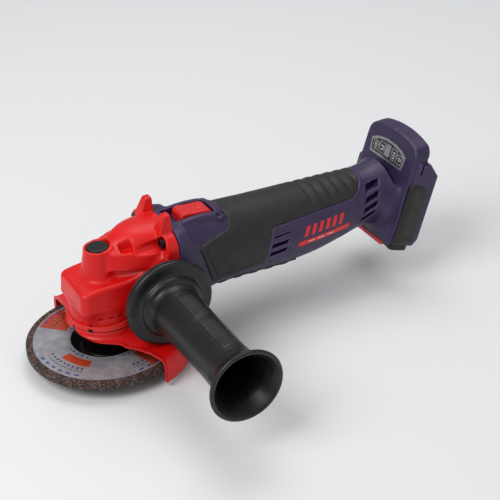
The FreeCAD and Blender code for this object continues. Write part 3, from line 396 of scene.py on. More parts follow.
tree, shader = new_material("paper_label", metallic=0.35)
group = varied(tree, tone("a5a6ab"), tone("8f9096"), tone("a5a6ab"), 0.0, 160, 1400, 4e-5, (0.34, 0.5))
place = add_node(tree, "ShaderNodeSeparateXYZ")
tree.links.new(add_node(tree, "ShaderNodeTexCoord").outputs["Object"], place.inputs[0])
reach = calc(tree, "SQRT", calc(tree, "ADD", calc(tree, "MULTIPLY", place.outputs["X"], place.outputs["X"]),
                                calc(tree, "MULTIPLY", place.outputs["Y"], place.outputs["Y"])))
turn = calc(tree, "ARCTAN2", place.outputs["Y"], place.outputs["X"])
colour = group.outputs["Colour"]
# Angles about the spindle are in radians, radii in metres.
FULL_TURN = 6.2832
for middle, half, low, high, paint in (
    (-2.62, 0.32, 0.0335, 0.0415, "c2431f"),
    (-1.02, 0.26, 0.0330, 0.0560, "b8401f"),
    (0.52, 0.32, 0.0335, 0.0415, "c2431f"),
    (2.12, 0.26, 0.0330, 0.0560, "b8401f"),
):
    sector = band(tree, turn, middle - half, middle + half, 0.01)
    bar = calc(tree, "MULTIPLY", sector, band(tree, reach, low, high, 0.0003))
    colour = blended(tree, bar, colour, tone(paint))
for low, high, dashes, share, paint in (
    (0.0440, 0.0462, 70, 0.45, "3a3b42"), (0.0478, 0.0495, 110, 0.4, "4a4b52"),
    (0.0528, 0.0545, 46, 0.5, "23408c"), (0.0295, 0.0310, 40, 0.4, "23408c"),
):
    ticks = calc(tree, "FRACT", calc(tree, "MULTIPLY", turn, dashes / FULL_TURN))
    wave = calc(tree, "SINE", calc(tree, "MULTIPLY", turn, 4.0))
    dash = band(tree, ticks, 0.1, 0.1 + share, 0.04)
    row = calc(tree, "MULTIPLY", dash, band(tree, reach, low, high, 0.0002))
    row = calc(tree, "MULTIPLY", row, remap(tree, wave, -0.1, 0.1))
    colour = blended(tree, row, colour, tone(paint))
tree.links.new(colour, shader.inputs["Base Color"])
tree.links.new(group.outputs["Roughness"], shader.inputs["Roughness"])
tree.links.new(group.outputs["Normal"], shader.inputs["Normal"])
print("disc finishes made")

# %% [markdown]
# ## How the cast and moulded pieces are made
# A casting is a few plain volumes whose joins are all rounded by fillets. That is awkward to draw as one
# grid, but easy to say as a distance: for every point in space, how far it is outside the metal. Two
# volumes are joined with a smooth minimum, which leaves a fillet, and a pocket is the same thing with
# its sign changed. `skin_of` samples that distance on a fine lattice and lays one vertex in each cell
# that the surface passes through (surface nets), then slides every vertex onto the exact surface.

# %% Distances
def joined(first, second, fillet):
    """Smooth union: the smaller of two distances, with a fillet of about this size where they meet."""
    share = np.clip(0.5 + 0.5 * (second - first) / fillet, 0, 1)
    return second * (1 - share) + first * share - fillet * share * (1 - share)


def removed(body, tool, fillet):
    """Smooth cut: the body without the tool, its edges rounded by the fillet."""
    return -joined(-body, tool, fillet)


def both(first, second, fillet):
    """Smooth intersection of two volumes."""
    return -joined(-first, -second, fillet)


def brick(x, y, z, half, rounding):
    """Box of half sizes centred on the origin: length of the part of |p| - half + r beyond 0, minus r."""
    past = [np.abs(v) - h + rounding for v, h in zip((x, y, z), half)]
    outside = np.sqrt(sum(np.maximum(v, 0) ** 2 for v in past))
    return outside + np.minimum(np.maximum(np.maximum(past[0], past[1]), past[2]), 0) - rounding


def rectangle(a, b, half_a, half_b, rounding):
    """Flat box in two coordinates, with rounded corners."""
    past_a, past_b = np.abs(a) - half_a + rounding, np.abs(b) - half_b + rounding
    outside = np.sqrt(np.maximum(past_a, 0) ** 2 + np.maximum(past_b, 0) ** 2)
    return outside + np.minimum(np.maximum(past_a, past_b), 0) - rounding


def polygon(a, b, corners):
    """Signed distance to a closed outline: least distance to its sides, negative inside (even-odd rule)."""
    nearest = np.full(np.shape(a), 1e9)
    inside = np.zeros(np.shape(a), bool)
    for (a0, b0), (a1, b1) in zip(corners, corners[1:] + corners[:1]):
        da, db = a1 - a0, b1 - b0
        along = np.clip(((a - a0) * da + (b - b0) * db) / (da * da + db * db), 0, 1)
        nearest = np.minimum(nearest, (a - a0 - along * da) ** 2 + (b - b0 - along * db) ** 2)
        if db != 0:
            crosses = (b0 > b) != (b1 > b)
            inside ^= crosses & (a < a0 + (b - b0) * da / db)
    return np.sqrt(nearest) * np.where(inside, -1, 1)


def curve_through(t, knots, values):
    """Smooth curve through knots: cubic Hermite pieces whose slopes are those of the neighbours' chords."""
    knots, values = np.array(knots, float), np.array(values, float)
    slopes = np.gradient(values, knots)
    t = np.clip(t, knots[0], knots[-1])
    i = np.clip(np.searchsorted(knots, t) - 1, 0, len(knots) - 2)
    width = knots[i + 1] - knots[i]
    s = (t - knots[i]) / width
    rise = values[i] * (2 * s**3 - 3 * s**2 + 1) + values[i + 1] * (3 * s**2 - 2 * s**3)
    return rise + width * (slopes[i] * (s**3 - 2 * s**2 + s) + slopes[i + 1] * (s**3 - s**2))


def eased(t, start, end):
    """0 before start, 1 after end, and a smooth S between them."""
    s = np.clip((t - start) / (end - start), 0, 1)
    return s * s * (3 - 2 * s)


# %% Meshes
def mesh_object(name, points, faces):
    """A mesh object from arrays of points (in millimetres) and faces."""
    mesh = bpy.data.meshes.new(name)
    mesh.from_pydata((np.asarray(points) * MM).tolist(), [], np.asarray(faces).tolist())
    mesh.polygons.foreach_set("use_smooth", np.full(len(mesh.polygons), True))
    mesh.update()
    item = bpy.data.objects.new(name, mesh)
    bpy.context.scene.collection.objects.link(item)
    return item


def skin_of(distance, low, high, pitch):
    """Points and faces of the surface where distance(x, y, z) is 0, by surface nets."""
    axes = [np.arange(a - pitch, b + 2 * pitch, pitch) for a, b in zip(low, high)]
    grid = np.meshgrid(*axes, indexing="ij")
    field = distance(*grid)
    # The outermost layer counts as outside, so the skin always closes within the lattice.
    for axis in range(3):
        ends = np.moveaxis(field, axis, 0)
        ends[[0, -1]] = np.maximum(ends[[0, -1]], 0.01 * pitch)
    origin = np.array([axis[0] for axis in axes])
    cells = tuple(n - 1 for n in field.shape)
    total, count = np.zeros((*cells, 3)), np.zeros(cells)
    crossings = []
    for axis in range(3):
        near = np.moveaxis(field, axis, 0)[:-1]
        far = np.moveaxis(field, axis, 0)[1:]
        found = np.argwhere((near < 0) != (far < 0))
        at = tuple(found.T)
        share = near[at] / (near[at] - far[at])
        places = found.astype(float)
        places[:, 0] += share
        order = [axis] + [other for other in range(3) if other != axis]
        back = np.argsort(order)
        places, found, leaving = places[:, back], found[:, back], near[at] < 0
        one, two = [other for other in range(3) if other != axis]
        ring = []
        for step_one, step_two in ((-1, -1), (0, -1), (0, 0), (-1, 0)):
            cell = found.copy()
            cell[:, one] += step_one
            cell[:, two] += step_two
            np.add.at(total, tuple(cell.T), places)
            np.add.at(count, tuple(cell.T), 1)
            ring.append(np.ravel_multi_index(tuple(cell.T), cells))
        quads = np.stack(ring, axis=1)
        flip = leaving if axis == 1 else ~leaving
        quads[flip] = quads[flip][:, ::-1]
        crossings.append(quads)
    used = count.ravel() > 0
    index = np.cumsum(used) - 1
    points = total.reshape(-1, 3)[used] / count.ravel()[used][:, None] * pitch + origin
    return slid_onto(distance, points, pitch), index[np.concatenate(crossings)]


def slid_onto(distance, points, pitch, rounds=3):
    """Newton steps towards the surface: each point moves by -distance x gradient / gradient squared."""
    step = 0.05
    for _ in range(rounds):
        here = distance(*points.T)
        slope = np.stack(
            [(distance(*(points + step * np.eye(3)[k]).T) - here) / step for k in range(3)], axis=1
        )
        move = -here[:, None] * slope / np.maximum((slope**2).sum(1), 0.2)[:, None]
        size = np.linalg.norm(move, axis=1, keepdims=True)
        points = points + move * np.minimum(1, 0.4 * pitch / np.maximum(size, 1e-9))
    return points


def moulded(name, distance, low, high, pitch):
    """A finished object from a distance function, at the origin."""
    points, faces = skin_of(distance, low, high, pitch)
    item = mesh_object(name, points, faces)
    print(f"{name}: {len(faces)} quads, box {points.min(0).round(1)} to {points.max(0).round(1)} mm")
    return item


def dressed(item, body, material, replaces=()):
    """Says which body a piece rides on, which finish it has and which CAD nodes it stands for."""
    item.data.materials.append(materials[material])
    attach(item, body)
    if replaces:
        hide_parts(*replaces)


# %% [markdown]
# ## Gear head
# The head is one die casting. From the front: a boxy snout with rounded upright edges on a round gear
# case, a conical boss for the lock button, and a smooth egg-shaped hump that climbs to a squared rear
# rim with two lugs. Draft and fillets everywhere come from pulling it out of a die, so it is the ideal
# piece for smooth unions. Beside the boss are two square pockets, outside each lug a round recess
# takes a screw, and a row of small notches runs round the lower band.

# %% Gear head
HEAD_LOW, HEAD_HIGH = span("gear_housing")
BUTTON_LOW, BUTTON_HIGH = span("lock_button")
_, COVER_HIGH = span("bearing_cover")
_, SCREW_HIGH = span("head_screws")
HANDLE_LOW, HANDLE_HIGH = span("handle_grip")
RIM_HALF = 33.0
RIM_BOTTOM = 36
RIM_FRONT = 43.2
HEAD_TOP = 107.0
REAR = HEAD_HIGH[0]
BUTTON_R = BUTTON_HIGH[0]
BOSS_TOP = BUTTON_HIGH[2] - 1.2
HANDLE_X = (HANDLE_LOW[0] + HANDLE_HIGH[0]) / 2
HANDLE_Z = (HANDLE_LOW[2] + HANDLE_HIGH[2]) / 2
EAR_Y, EAR_TOP = 16.5, HEAD_HIGH[2]
SNOUT_CORNER = 6
SCREW_INSET = 3.6
NOTCH_ANGLES = (-143, -117, -96, -77, 143, 117)
NOTCH_RADIUS = 26.2


def snout_top(x, y):
    """Height of the snout's top skin: it climbs to the rear and falls away to both sides."""
    return curve_through(x, (-26, -10, 10, 26, 40, 60), (73.5, 76, 78, 84, 93, 98)) - 0.0022 * y * y


def head_snout(x, y, z):
    """Box whose half width and top follow x; its walls lean in a little towards the top."""
    lean = (z - 60) * 0.07
    tuck = 0.5 * np.maximum(57 - z, 0)
    half = curve_through(x, (-26, -8, 8, 24, 38, 60), (24.3, 24.6, 26, 28.5, 31.5, 33)) - lean - tuck
    past_x = np.abs(x - 12.5) - 38 + SNOUT_CORNER + 0.06 * (z - 60) + tuck
    past_y = np.abs(y) - half + SNOUT_CORNER
    outside = np.hypot(np.maximum(past_x, 0), np.maximum(past_y, 0))
    side = outside + np.minimum(np.maximum(past_x, past_y), 0) - SNOUT_CORNER
    return both(side, np.maximum(z - snout_top(x, y), COVER_HIGH[2] - z), 3.0)


def head_hump(x, y, z):
    """Egg-shaped hump: an ellipse across, whose width and height follow x."""
    across = curve_through(x, (0, 8, 18, 30, 42, 56), (7, 14, 20.5, 25, 27, 28))
    top = curve_through(x, (0, 8, 18, 30, 42, 56), (95, 101.8, 107.2, 110, 110.2, 109))
    height = 30.0
    up = np.maximum(z - top + height, 0) / height
    round_part = (np.sqrt((np.abs(y) / across) ** 2.4 + up**2.4 + 1e-9) - 1) * across * 0.8
    return np.maximum(np.maximum(round_part, 4.5 - x), np.maximum(x - REAR, 72 - z))


def head_shoulder(x, y, z):
    """Shelf behind the boss that the hump rises from; its sides slope out."""
    half = curve_through(x, (2, 14, 30, 44), (12, 18.5, 24, 26)) + 0.35 * (97.6 - z)
    return both(np.abs(y) - half, np.maximum(np.abs(x - 20) - 18, np.maximum(z - 97.6, 84 - z)), 3.0) * 0.94


def head_rim(x, y, z):
    """Squared rear rim with rounded corners."""
    middle = (RIM_BOTTOM + HEAD_TOP) / 2
    ring = rectangle(y, z - middle, RIM_HALF, (HEAD_TOP - RIM_BOTTOM) / 2, 12)
    return both(ring, np.abs(x - (RIM_FRONT + REAR) / 2) - (REAR - RIM_FRONT) / 2, 1.6)


def head_ear(x, y, z):
    """Two lugs: a tapered block that narrows and leans back towards its tip."""
    rise = (z - 100) / (EAR_TOP - 100)
    side = np.abs(y) - EAR_Y + 0.4 * rise
    front = 39.0 + 8.5 * rise
    centre, depth = (front + REAR) / 2, (REAR - front) / 2
    plan = rectangle(x - centre, side, depth, 7.4 - 4.2 * rise, 1.0)
    return both(plan, np.maximum(z - EAR_TOP, 92 - z), 1.6) * 0.9


def head_shape(x, y, z):
    """Distance of the whole casting."""
    body = head_snout(x, y, z)
    case = both(np.hypot(x + 0.5, y) - 25.2, np.abs(z - 50.5) - 7.6, 1.2)
    body = joined(body, case, 3.0)
    body = joined(body, head_rim(x, y, z), 6.0)
    boss = np.maximum(np.hypot(x, y) - BUTTON_R - 2.6 - (BOSS_TOP - z) * 0.17, z - BOSS_TOP)
    hub = both(np.hypot(x - HANDLE_X, z - HANDLE_Z) - 13, np.abs(y) - HEAD_HIGH[1], 1.0)
    body = joined(body, hub, 5.0)
    body = joined(body, head_shoulder(x, y, z), 3.0)
    body = joined(body, head_hump(x, y, z), 3.0)
    body = joined(body, np.maximum(boss, 70 - z), 3.6)
    body = joined(body, head_ear(x, y, z), 1.0)
    pocket = brick(x - 17.0, np.abs(y) - 14.2 - 0.3 * (x - 17), z - 102.5, (4.4, 3.8, 6.5), 0.5)
    body = removed(body, pocket, 0.6)
    for side in (-1, 1):
        screw_y = side * (SCREW_HIGH[1] - SCREW_INSET)
        screw_z = SCREW_HIGH[2] - SCREW_INSET
        well = np.maximum(np.hypot(y - screw_y, z - screw_z) - 5.2, np.abs(x - 32) - 12.2)
        body = removed(body, well, 1.0)
    body = removed(body, np.maximum(np.hypot(x, y) - BUTTON_R - 0.55, BOSS_TOP - 4 - z), 0.7)
    angle = np.degrees(np.arctan2(y, x))
    for middle in NOTCH_ANGLES:
        across = (angle - middle) * math.radians(1) * NOTCH_RADIUS
        notch = brick(np.hypot(x, y) - 27, across, z - 49.2, (3.4, 2.3, 0.8), 0.4)
        body = removed(body, notch, 0.5)
    return np.maximum(body, x - REAR)


head = moulded("gear_head_casting", head_shape, HEAD_LOW, HEAD_HIGH, 0.8)
dressed(head, "housing", "red_casting", replaces=["gear_housing"])

# %% [markdown]
# ## Motor housing
# A violet nylon tube joins the head to the handle. At the front it copies the squared rim of the head,
# behind it is round, so its section is a superellipse whose exponent falls from 6 to 2 along the tube.
# On top an oval surround guards the slide switch.

# %% Body lines
HOUSING_LOW, HOUSING_HIGH = span("motor_housing")
SLIDE_LOW, SLIDE_HIGH = span("slide_knob")
RING_X, RING_Y = 96.5, 14.2
BODY_X = (53, 66, 80, 104, 130, 158, 182, 206, 228, 241, 252)
BODY_CENTRE = (71.5, 72.2, 72.5, 72.5, 71.8, 71.0, 71.6, 73.6, 75.6, 76.2, 75.6)
BODY_RADIUS = (32.6, 31.7, 31.5, 31.5, 31.5, 31.2, 30.0, 27.6, 25.2, 25.6, 29.0)
GRIP_SIDE = [
    (102.6, 120), (102.6, 99), (99, 95.5), (90, 93.6), (73.5, 91.5), (71.5, 88.5), (74, 80), (80.5, 58),
    (84, 56.5), (126, 58.2), (128.5, 61), (130.5, 74), (136.5, 86.3), (140, 88), (214, 89.5),
    (220.5, 91.8), (226.5, 97), (231, 105), (231, 120),
]


def body_centre(x):
    return curve_through(x, BODY_X, BODY_CENTRE)


def body_radius(x):
    """Radius of the body's outer skin along its length."""
    return curve_through(x, BODY_X, BODY_RADIUS)


def body_skin(x, y, z):
    """Distance to the outer skin: superellipse |y/a|^n + |z/b|^n = 1, with n falling to 2."""
    power = curve_through(x, (53, 62, 74, 88, 104), (6, 5, 2.9, 2.15, 2.0))
    across = body_radius(x)
    up = across + curve_through(x, (53, 62, 72, 86, 104), (2.9, 2.6, 1.0, 0.2, 0))
    high = np.maximum(np.abs(z - body_centre(x)), 1e-6)
    wide = np.maximum(np.abs(y), 1e-6)
    ratio = ((wide / across) ** power + (high / up) ** power) ** (1 / power)
    return (ratio - 1) * across


# %% Motor housing
def motor_housing_shape(x, y, z):
    body = body_skin(x, y, z) - 1.1 * (1 - eased(x, 64.0, 65.4))
    top = curve_through(x, (54, 66, 90, 103), (105.5, 108.4, 108.4, 105.6)) - 0.004 * y * y
    plan = rectangle(x - 79, y, 23.0, 15.2, 11.5) + 0.28 * (z - 107)
    body = joined(body, both(plan, np.maximum(z - top, 85 - z), 1.6), 3.0)
    for side in (-1, 1):
        ring_boss = np.maximum(np.hypot(x - RING_X, y - side * RING_Y) - 3.3, np.abs(z - 98) - 6.6)
        body = joined(body, ring_boss, 0.8)
        body = removed(body, np.maximum(np.hypot(x - RING_X, y - side * RING_Y) - 1.9, 103.4 - z), 0.5)
    front, rear = SLIDE_LOW[0] - 9.5, SLIDE_HIGH[0] + 2
    opening = rectangle(x - (front + rear) / 2, y, (rear - front) / 2, SLIDE_HIGH[1] + 0.6, 3.5)
    body = removed(body, np.maximum(opening, 101.2 - z), 0.9)
    for side in (-1, 1):
        notch = brick(x - 61, y - side * 27.5, z - 101.5, (1.0, 1.6, 1.2), 0.4)
        body = removed(body, notch, 0.4)
    return both(body, np.abs(x - 78.5) - 25.05, 0.5)


motor_housing = moulded("motor_housing_tube", motor_housing_shape, HOUSING_LOW - 1, HOUSING_HIGH + 1, 0.8)
dressed(motor_housing, "housing", "purple_plastic", replaces=["motor_housing"])

# %% [markdown]
# ## Handle shells and battery foot
# Two nylon halves meet on the middle plane. Their neck is thinnest just before the foot, then flares
# into the tilted foot plate with a large fillet: again a smooth union. Vents are cut as slanted slots.
# The panel between rubber and foot stands a little below the rubber and has a raised bead at its edge.

# %% Battery foot's own axes
FOOT_TILT = math.radians(18)
FOOT_ORIGIN = (245.0, 50.6)
PLATE_DEPTH = 14.0
SHELL_MIDDLE, SHELL_HALF = 178, 74
VENT_DEPTH = 6.5


def to_foot(x, z):
    """u up the plate and n out of its back, for a point of the grinder."""
    dx, dz = x - FOOT_ORIGIN[0], z - FOOT_ORIGIN[1]
    sine, cosine = math.sin(FOOT_TILT), math.cos(FOOT_TILT)
    return sine * dx + cosine * dz, cosine * dx - sine * dz


def from_foot(across, up, out):
    """Point of the grinder, in millimetres, for a place on the foot."""
    x = FOOT_ORIGIN[0] + math.sin(FOOT_TILT) * up + math.cos(FOOT_TILT) * out
    z = FOOT_ORIGIN[1] + math.cos(FOOT_TILT) * up - math.sin(FOOT_TILT) * out
    return np.stack(np.broadcast_arrays(x, across, z), axis=-1)


# %% Shells and foot
def foot_shape(x, y, z):
    """Arched plate that grows towards its back, two cheeks and the rails inside them."""
    up, out = to_foot(x, z)
    wide = np.abs(y)
    half = curve_through(up, (-12, -4, 50, 74, 90), (31.5, 33.6, 34.6, 33.5, 30))
    half = half + 0.12 * np.minimum(out, 8)
    top = 80 + 0.36 * np.minimum(out, 12) - 5.2 * (wide / 33) ** 2
    plan = both(both(wide - half, up - top, 6.0), -10 - up, 3.0)
    plate = both(plan, np.abs(out - PLATE_DEPTH / 2) - PLATE_DEPTH / 2, 2.2)
    side = polygon(out, up, [(3, -7), (23, -8), (27, -2), (27, 56), (16, 66), (4, 66)])
    cheek = both(side, np.abs(wide - 34.05) - 3.0, 0.9)
    foot = joined(plate, cheek, 1.6)
    rail = brick(out - 24, wide - 29.6, up - 24, (2.0, 2.2, 26), 0.5)
    foot = joined(foot, rail, 0.8)
    hook = brick(out - 10.5, wide - 36.4, up - 67.6, (3.2, 2.6, 3.4), 0.5)
    foot = removed(foot, hook, 0.6)
    latch = brick(out - 9.0, wide - 36.4, up - 60.5, (1.2, 1.8, 4.5), 0.4)
    return removed(foot, latch, 0.5)


def slanted(x, z, middle_x, middle_z, half_x, half_z, rise, lean):
    """Parallelogram whose long sides climb by rise and whose short sides lean."""
    dz = z - middle_z - rise * (x - middle_x)
    dx = x - middle_x - lean * dz
    return rectangle(dx, dz, half_x, half_z, 0.5)


def shell_openings(x, z):
    """Distance to the nearest vent: four behind, two in the middle panel and a thin slot above them."""
    cuts = [
        slanted(x, z, 235.6 - 2.3 * i, 92.6 - 7.8 * i, 6.6, 2.5 - 0.2 * i, 0.16 + 0.07 * i, 0.5)
        for i in range(4)
    ]
    cuts += [slanted(x, z, 141.8 - 1.7 * i, 72.8 - 7.0 * i, 7.6, 1.7, 0.06, 0.55) for i in range(2)]
    cuts.append(slanted(x, z, 144.2, 79.6, 7.6, 0.7, 0.06, 0.55))
    return np.minimum.reduce(cuts)


def panel_relief(x, z):
    """Raised outlines on the side panel: a bracket round the slots and a slanted frame for the decal."""
    bracket = slanted(x, z, 144, 74.5, 11.5, 12.2, 0.03, 0.42)
    frame_line = slanted(x, z, 186.5, 75.4, 26.5, 10.8, 0.03, 0.42)
    lines = np.minimum(np.abs(bracket), np.abs(frame_line))
    return 0.45 * np.exp(-((lines / 0.55) ** 2))


def shells_shape(x, y, z):
    grip = polygon(x, z, GRIP_SIDE)
    skin = body_radius(x) - 1.7 + 1.25 * eased(grip, -0.7, 0.2)
    skin = skin + 0.6 * np.exp(-(((grip - 0.8) / 0.6) ** 2)) * eased(x, 126, 130)
    seen = eased(np.abs(y), 12, 16) * eased(x, 128, 131) * (1 - eased(x, 216, 221))
    skin = skin + panel_relief(x, z) * seen
    radial = np.hypot(y, z - body_centre(x))
    body = both(radial - skin, np.abs(x - SHELL_MIDDLE) - SHELL_HALF, 0.4)
    foot = foot_shape(x, y, z)
    up, out = to_foot(x, z)
    body = np.where(out > PLATE_DEPTH - 4, np.maximum(body, out - PLATE_DEPTH + 4), body)
    whole = joined(body, foot, np.where(out < 1, 11.0, 1.0))
    vents = np.maximum(shell_openings(x, z), body_radius(x) - VENT_DEPTH - radial)
    whole = removed(whole, np.maximum(vents, 9 - np.abs(y)), 0.5)
    return whole + 0.4 * np.exp(-((y / 0.5) ** 2))


SHELL_LOW = np.array([103.5, -40, 34])
SHELL_HIGH = np.array([292, 40, 134])
shells = moulded("handle_shells", shells_shape, SHELL_LOW, SHELL_HIGH, 0.9)
dressed(shells, "housing", "purple_plastic", replaces=["left_shell", "right_shell"])

# %% [markdown]
# ## Rubber grip
# Charcoal rubber is moulded over the shells. Seen from the side its outline is one closed polygon, so
# the rubber is the layer just above the body's skin, intersected with that outline pushed sideways. Its
# edges are rounded by the smooth intersection, a fine line is sunk 4 mm inside its front corner, and
# six crescent grooves cross its back.

# %% Grip rubber
RIB_FIRST, RIB_STEP, RIB_COUNT = 177.0, 9.0, 6


def grip_height(x, y, z, side):
    """How far the rubber stands above the skin: proud at the front, flush behind, less its grooves."""
    turn = np.degrees(np.arctan2(np.abs(y), z - body_centre(x)))
    height = 0.35 + 0.85 * (1 - eased(x, 96, 134))
    border = np.exp(-(((side + 4.2) / 0.5) ** 2)) * (1 - eased(x, 112, 122)) * (1 - eased(z, 84, 90))
    height = height - 0.8 * border
    reach = 1 - eased(turn, 32, 50)
    for i in range(RIB_COUNT):
        past = x - (RIB_FIRST + RIB_STEP * i) - 2.5 * (turn / 60) ** 2
        crescent = np.where(past < 0, np.exp(-((past / 0.9) ** 2)), np.exp(-((past / 3.4) ** 2)))
        height = height - 0.95 * crescent * reach
    return height


def grip_shape(x, y, z):
    side = polygon(x, z, GRIP_SIDE)
    skin = body_skin(x, y, z)
    layer = np.maximum(skin - grip_height(x, y, z, side), -2.9 - skin)
    return both(layer, side, 1.1)


GRIP_LOW = np.array([70, -36, 55])
GRIP_HIGH = np.array([232, 36, 107])
grip = moulded("grip_rubber", grip_shape, GRIP_LOW, GRIP_HIGH, 0.9)
dressed(grip, "housing", "soft_rubber", replaces=["left_grip_rubber", "right_grip_rubber"])

# %% [markdown]
# The strip under the body is the same kind of layer, with the outline taken from below instead: a long
# rounded bar with shallow steps across it, so that the tool doesn't slide on a bench.

# %% Under strip
_, STRIP_HIGH = span("under_strip")
STRIP_FRONT = 92


def strip_shape(x, y, z):
    middle, half = (STRIP_HIGH[0] + STRIP_FRONT) / 2, (STRIP_HIGH[0] - STRIP_FRONT) / 2
    plan = rectangle(x - middle, y, half, 21.0, 5)
    steps = 0.5 * eased(np.sin((x - STRIP_FRONT) * 2 * np.pi / 14), 0.1, 0.6)
    skin = body_skin(x, y, z)
    layer = np.maximum(skin - 0.5 - steps, -2.4 - skin)
    return both(np.maximum(layer, z - 60), plan, 0.8)


strip = moulded("under_strip_rubber", strip_shape, np.array([90, -23, 36]), np.array([166, 23, 56]), 0.8)
dressed(strip, "housing", "soft_rubber", replaces=["under_strip"])

# %% [markdown]
# The bumpers on the foot are thin blocks with wide chamfers. Each side pad follows the cheek's outline,
# drawn in as it comes out, and a third bumper closes the bottom edge.

# %% Foot bumpers
_, PAD_HIGH = span("left_side_pad")
PAD_OUTLINE = [(1.5, -7), (23.5, -8), (24.5, -6), (24.5, 39), (17.5, 46.5), (5, 47.5), (1.5, 44)]


def side_pad_shape(side):
    def shape(x, y, z):
        up, out = to_foot(x, z)
        edge = polygon(out, up, PAD_OUTLINE)
        depth = side * y - PAD_HIGH[1] + 0.55 * np.maximum(edge + 3.0, 0) + 0.16 * np.maximum(out - 8, 0)
        return both(np.maximum(edge, 36.2 - side * y), depth, 0.7)

    return shape


for name, side in (("left_side_pad", 1), ("right_side_pad", -1)):
    low, high = span(name)
    pad = moulded(name + "_rubber", side_pad_shape(side), low - 2, high + 2, 0.6)
    dressed(pad, "housing", "soft_rubber", replaces=[name])


def sole_shape(x, y, z):
    up, out = to_foot(x, z)
    scallop = 0.5 * eased(np.cos(y * 2 * np.pi / 15), 0, 0.7)
    return both(rectangle(out - 13.5, y, 8.5, 34.5, 4), np.abs(up + 11) - 2.6 - scallop, 1.0)


low, high = span("sole_pad")
sole = moulded("sole_pad_rubber", sole_shape, low - (6, 6, 4), high + (16, 6, 4), 0.8)
dressed(sole, "housing", "soft_rubber", replaces=["sole_pad"])

# %% [markdown]
# ## Side handle
# The side handle is moulded round its stud, so it is a turned shape: a profile (distance along the
# handle, radius) carried round its axis. A spline through the profile would wobble at the flange, so the
# profile is a list of straight and rounded stretches resampled evenly. The mould left a fine parting
# line on the flange, and two patches of small raised studs give the palm a hold.

# %% Turned and swept surfaces
def closed_tube(points):
    """Faces of a grid of points (rows along, columns round) that closes round its columns."""
    rows, columns = points.shape[:2]
    index = np.arange(rows * columns).reshape(rows, columns)
    across = np.roll(index, -1, axis=1)
    return np.stack([index[:-1], across[:-1], across[1:], index[1:]], axis=-1).reshape(-1, 4)


def rounded_path(corners, fillet, step):
    """Evenly spaced points along a polyline whose corners are rounded by quadratic curves."""
    corners = [np.array(c, float) for c in corners]
    path = [corners[0]]
    for before, here, after in zip(corners, corners[1:], corners[2:]):
        size = min(fillet, np.linalg.norm(here - before) * 0.45, np.linalg.norm(after - here) * 0.45)
        start = here + (before - here) / np.linalg.norm(before - here) * size
        end = here + (after - here) / np.linalg.norm(after - here) * size
        t = np.linspace(0, 1, 7)[:, None]
        path.extend((1 - t) ** 2 * start + 2 * t * (1 - t) * here + t**2 * end)
    path.append(corners[-1])
    path = np.array(path)
    length = np.concatenate([[0], np.cumsum(np.linalg.norm(np.diff(path, axis=0), axis=1))])
    wanted = np.linspace(0, length[-1], int(length[-1] / step) + 2)
    return np.stack([np.interp(wanted, length, path[:, k]) for k in range(2)], axis=1)


# %% Side handle
HANDLE_PROFILE = [
    (37.3, 5.5), (37.3, 15), (41, 17), (41, 31.8), (41.6, 34.6), (43.2, 34.6), (43.4, 33.2), (44.6, 33.2),
    (44.8, 35.4), (47.6, 35.4), (49.2, 33.8), (49.5, 27.0), (50.6, 25.2), (54.0, 24.2), (55.6, 21.0),
    (60, 19.6), (92, 18.9), (132, 18.4), (146, 19.0), (155, 21.4), (161, 25.2), (164.6, 28.2), (166.6, 28.9),
    (168, 28.0), (167.8, 26.0), (164, 23.2), (157, 19.4), (148, 16.2), (128, 14.4), (108, 14.0), (108, 0.4),
]
STUD_PATCHES = ((68, 98, 58, 108), (103, 141, 58, 108))


def handle_bumps(along, turn):
    """Rows of small raised dashes inside two patches: product of a wave along and a wave round."""
    wave = np.sin(along * 2 * np.pi / 4.4 + np.floor(turn / 14) * 2.1) * np.sin(np.radians(turn) * 360 / 14)
    raised = eased(np.abs(wave), 0.25, 0.6)
    inside = 0
    for start, end, low, high in STUD_PATCHES:
        edge_along = eased(along, start, start + 1.5) * (1 - eased(along, end - 1.5, end))
        edge_turn = eased(turn, low, low + 5) * (1 - eased(turn, high - 5, high))
        inside = np.maximum(inside, edge_along * edge_turn)
    return 0.55 * raised * inside


profile = rounded_path(HANDLE_PROFILE, 1.6, 0.75)
TURNS = 220
angle = np.linspace(0, 2 * np.pi, TURNS, endpoint=False)
along, radius = profile[:, :1], profile[:, 1:]
turn_degrees = np.degrees(angle)[None, :] - 180
outside = (along > 60) & (np.arange(len(profile))[:, None] < np.argmax(profile[:, 0]))
radius = radius + handle_bumps(along, turn_degrees) * outside
on_flange = (along > 44.5) & (radius > 22) & (along < 56)
seam = np.exp(-((np.minimum(np.abs(np.sin(angle)), 1)[None, :] * radius / 0.45) ** 2))
along = along + 0.4 * seam * on_flange
x, z = HANDLE_X - radius * np.cos(angle), HANDLE_Z - radius * np.sin(angle)
points = np.stack(np.broadcast_arrays(x, -along, z), axis=-1)
faces = closed_tube(points)
side_handle = mesh_object("side_handle_grip", points.reshape(-1, 3), faces)
print("side handle:", len(faces), "quads")
dressed(side_handle, "housing", "grip_plastic", replaces=["handle_grip"])

# %% [markdown]
# ## Guard
# The guard is pressed from one sheet: a shallow cone over the disc, a rolled shoulder and a skirt. Its
# section is the same all round, but its two free edges are not radial, so each point of the section has
# its own first and last angle. Along both edges the sheet is turned up into a small bead.

# %% Guard
_, GUARD_HIGH = span("guard_shell")
GUARD_R = GUARD_HIGH[1]
GUARD_STEPS = 190
GUARD_WALL = 1.8
GUARD_SECTION = [
    (26.4, 37.4), (26.6, 34.8), (28.6, 32.6), (34, 31.0), (48, 27.6), (59, 25.4), (64, 24.4), (66.9, 21.6),
    (GUARD_R - 0.2, 17.5), (GUARD_R, 10), (GUARD_R, 4.0),
]


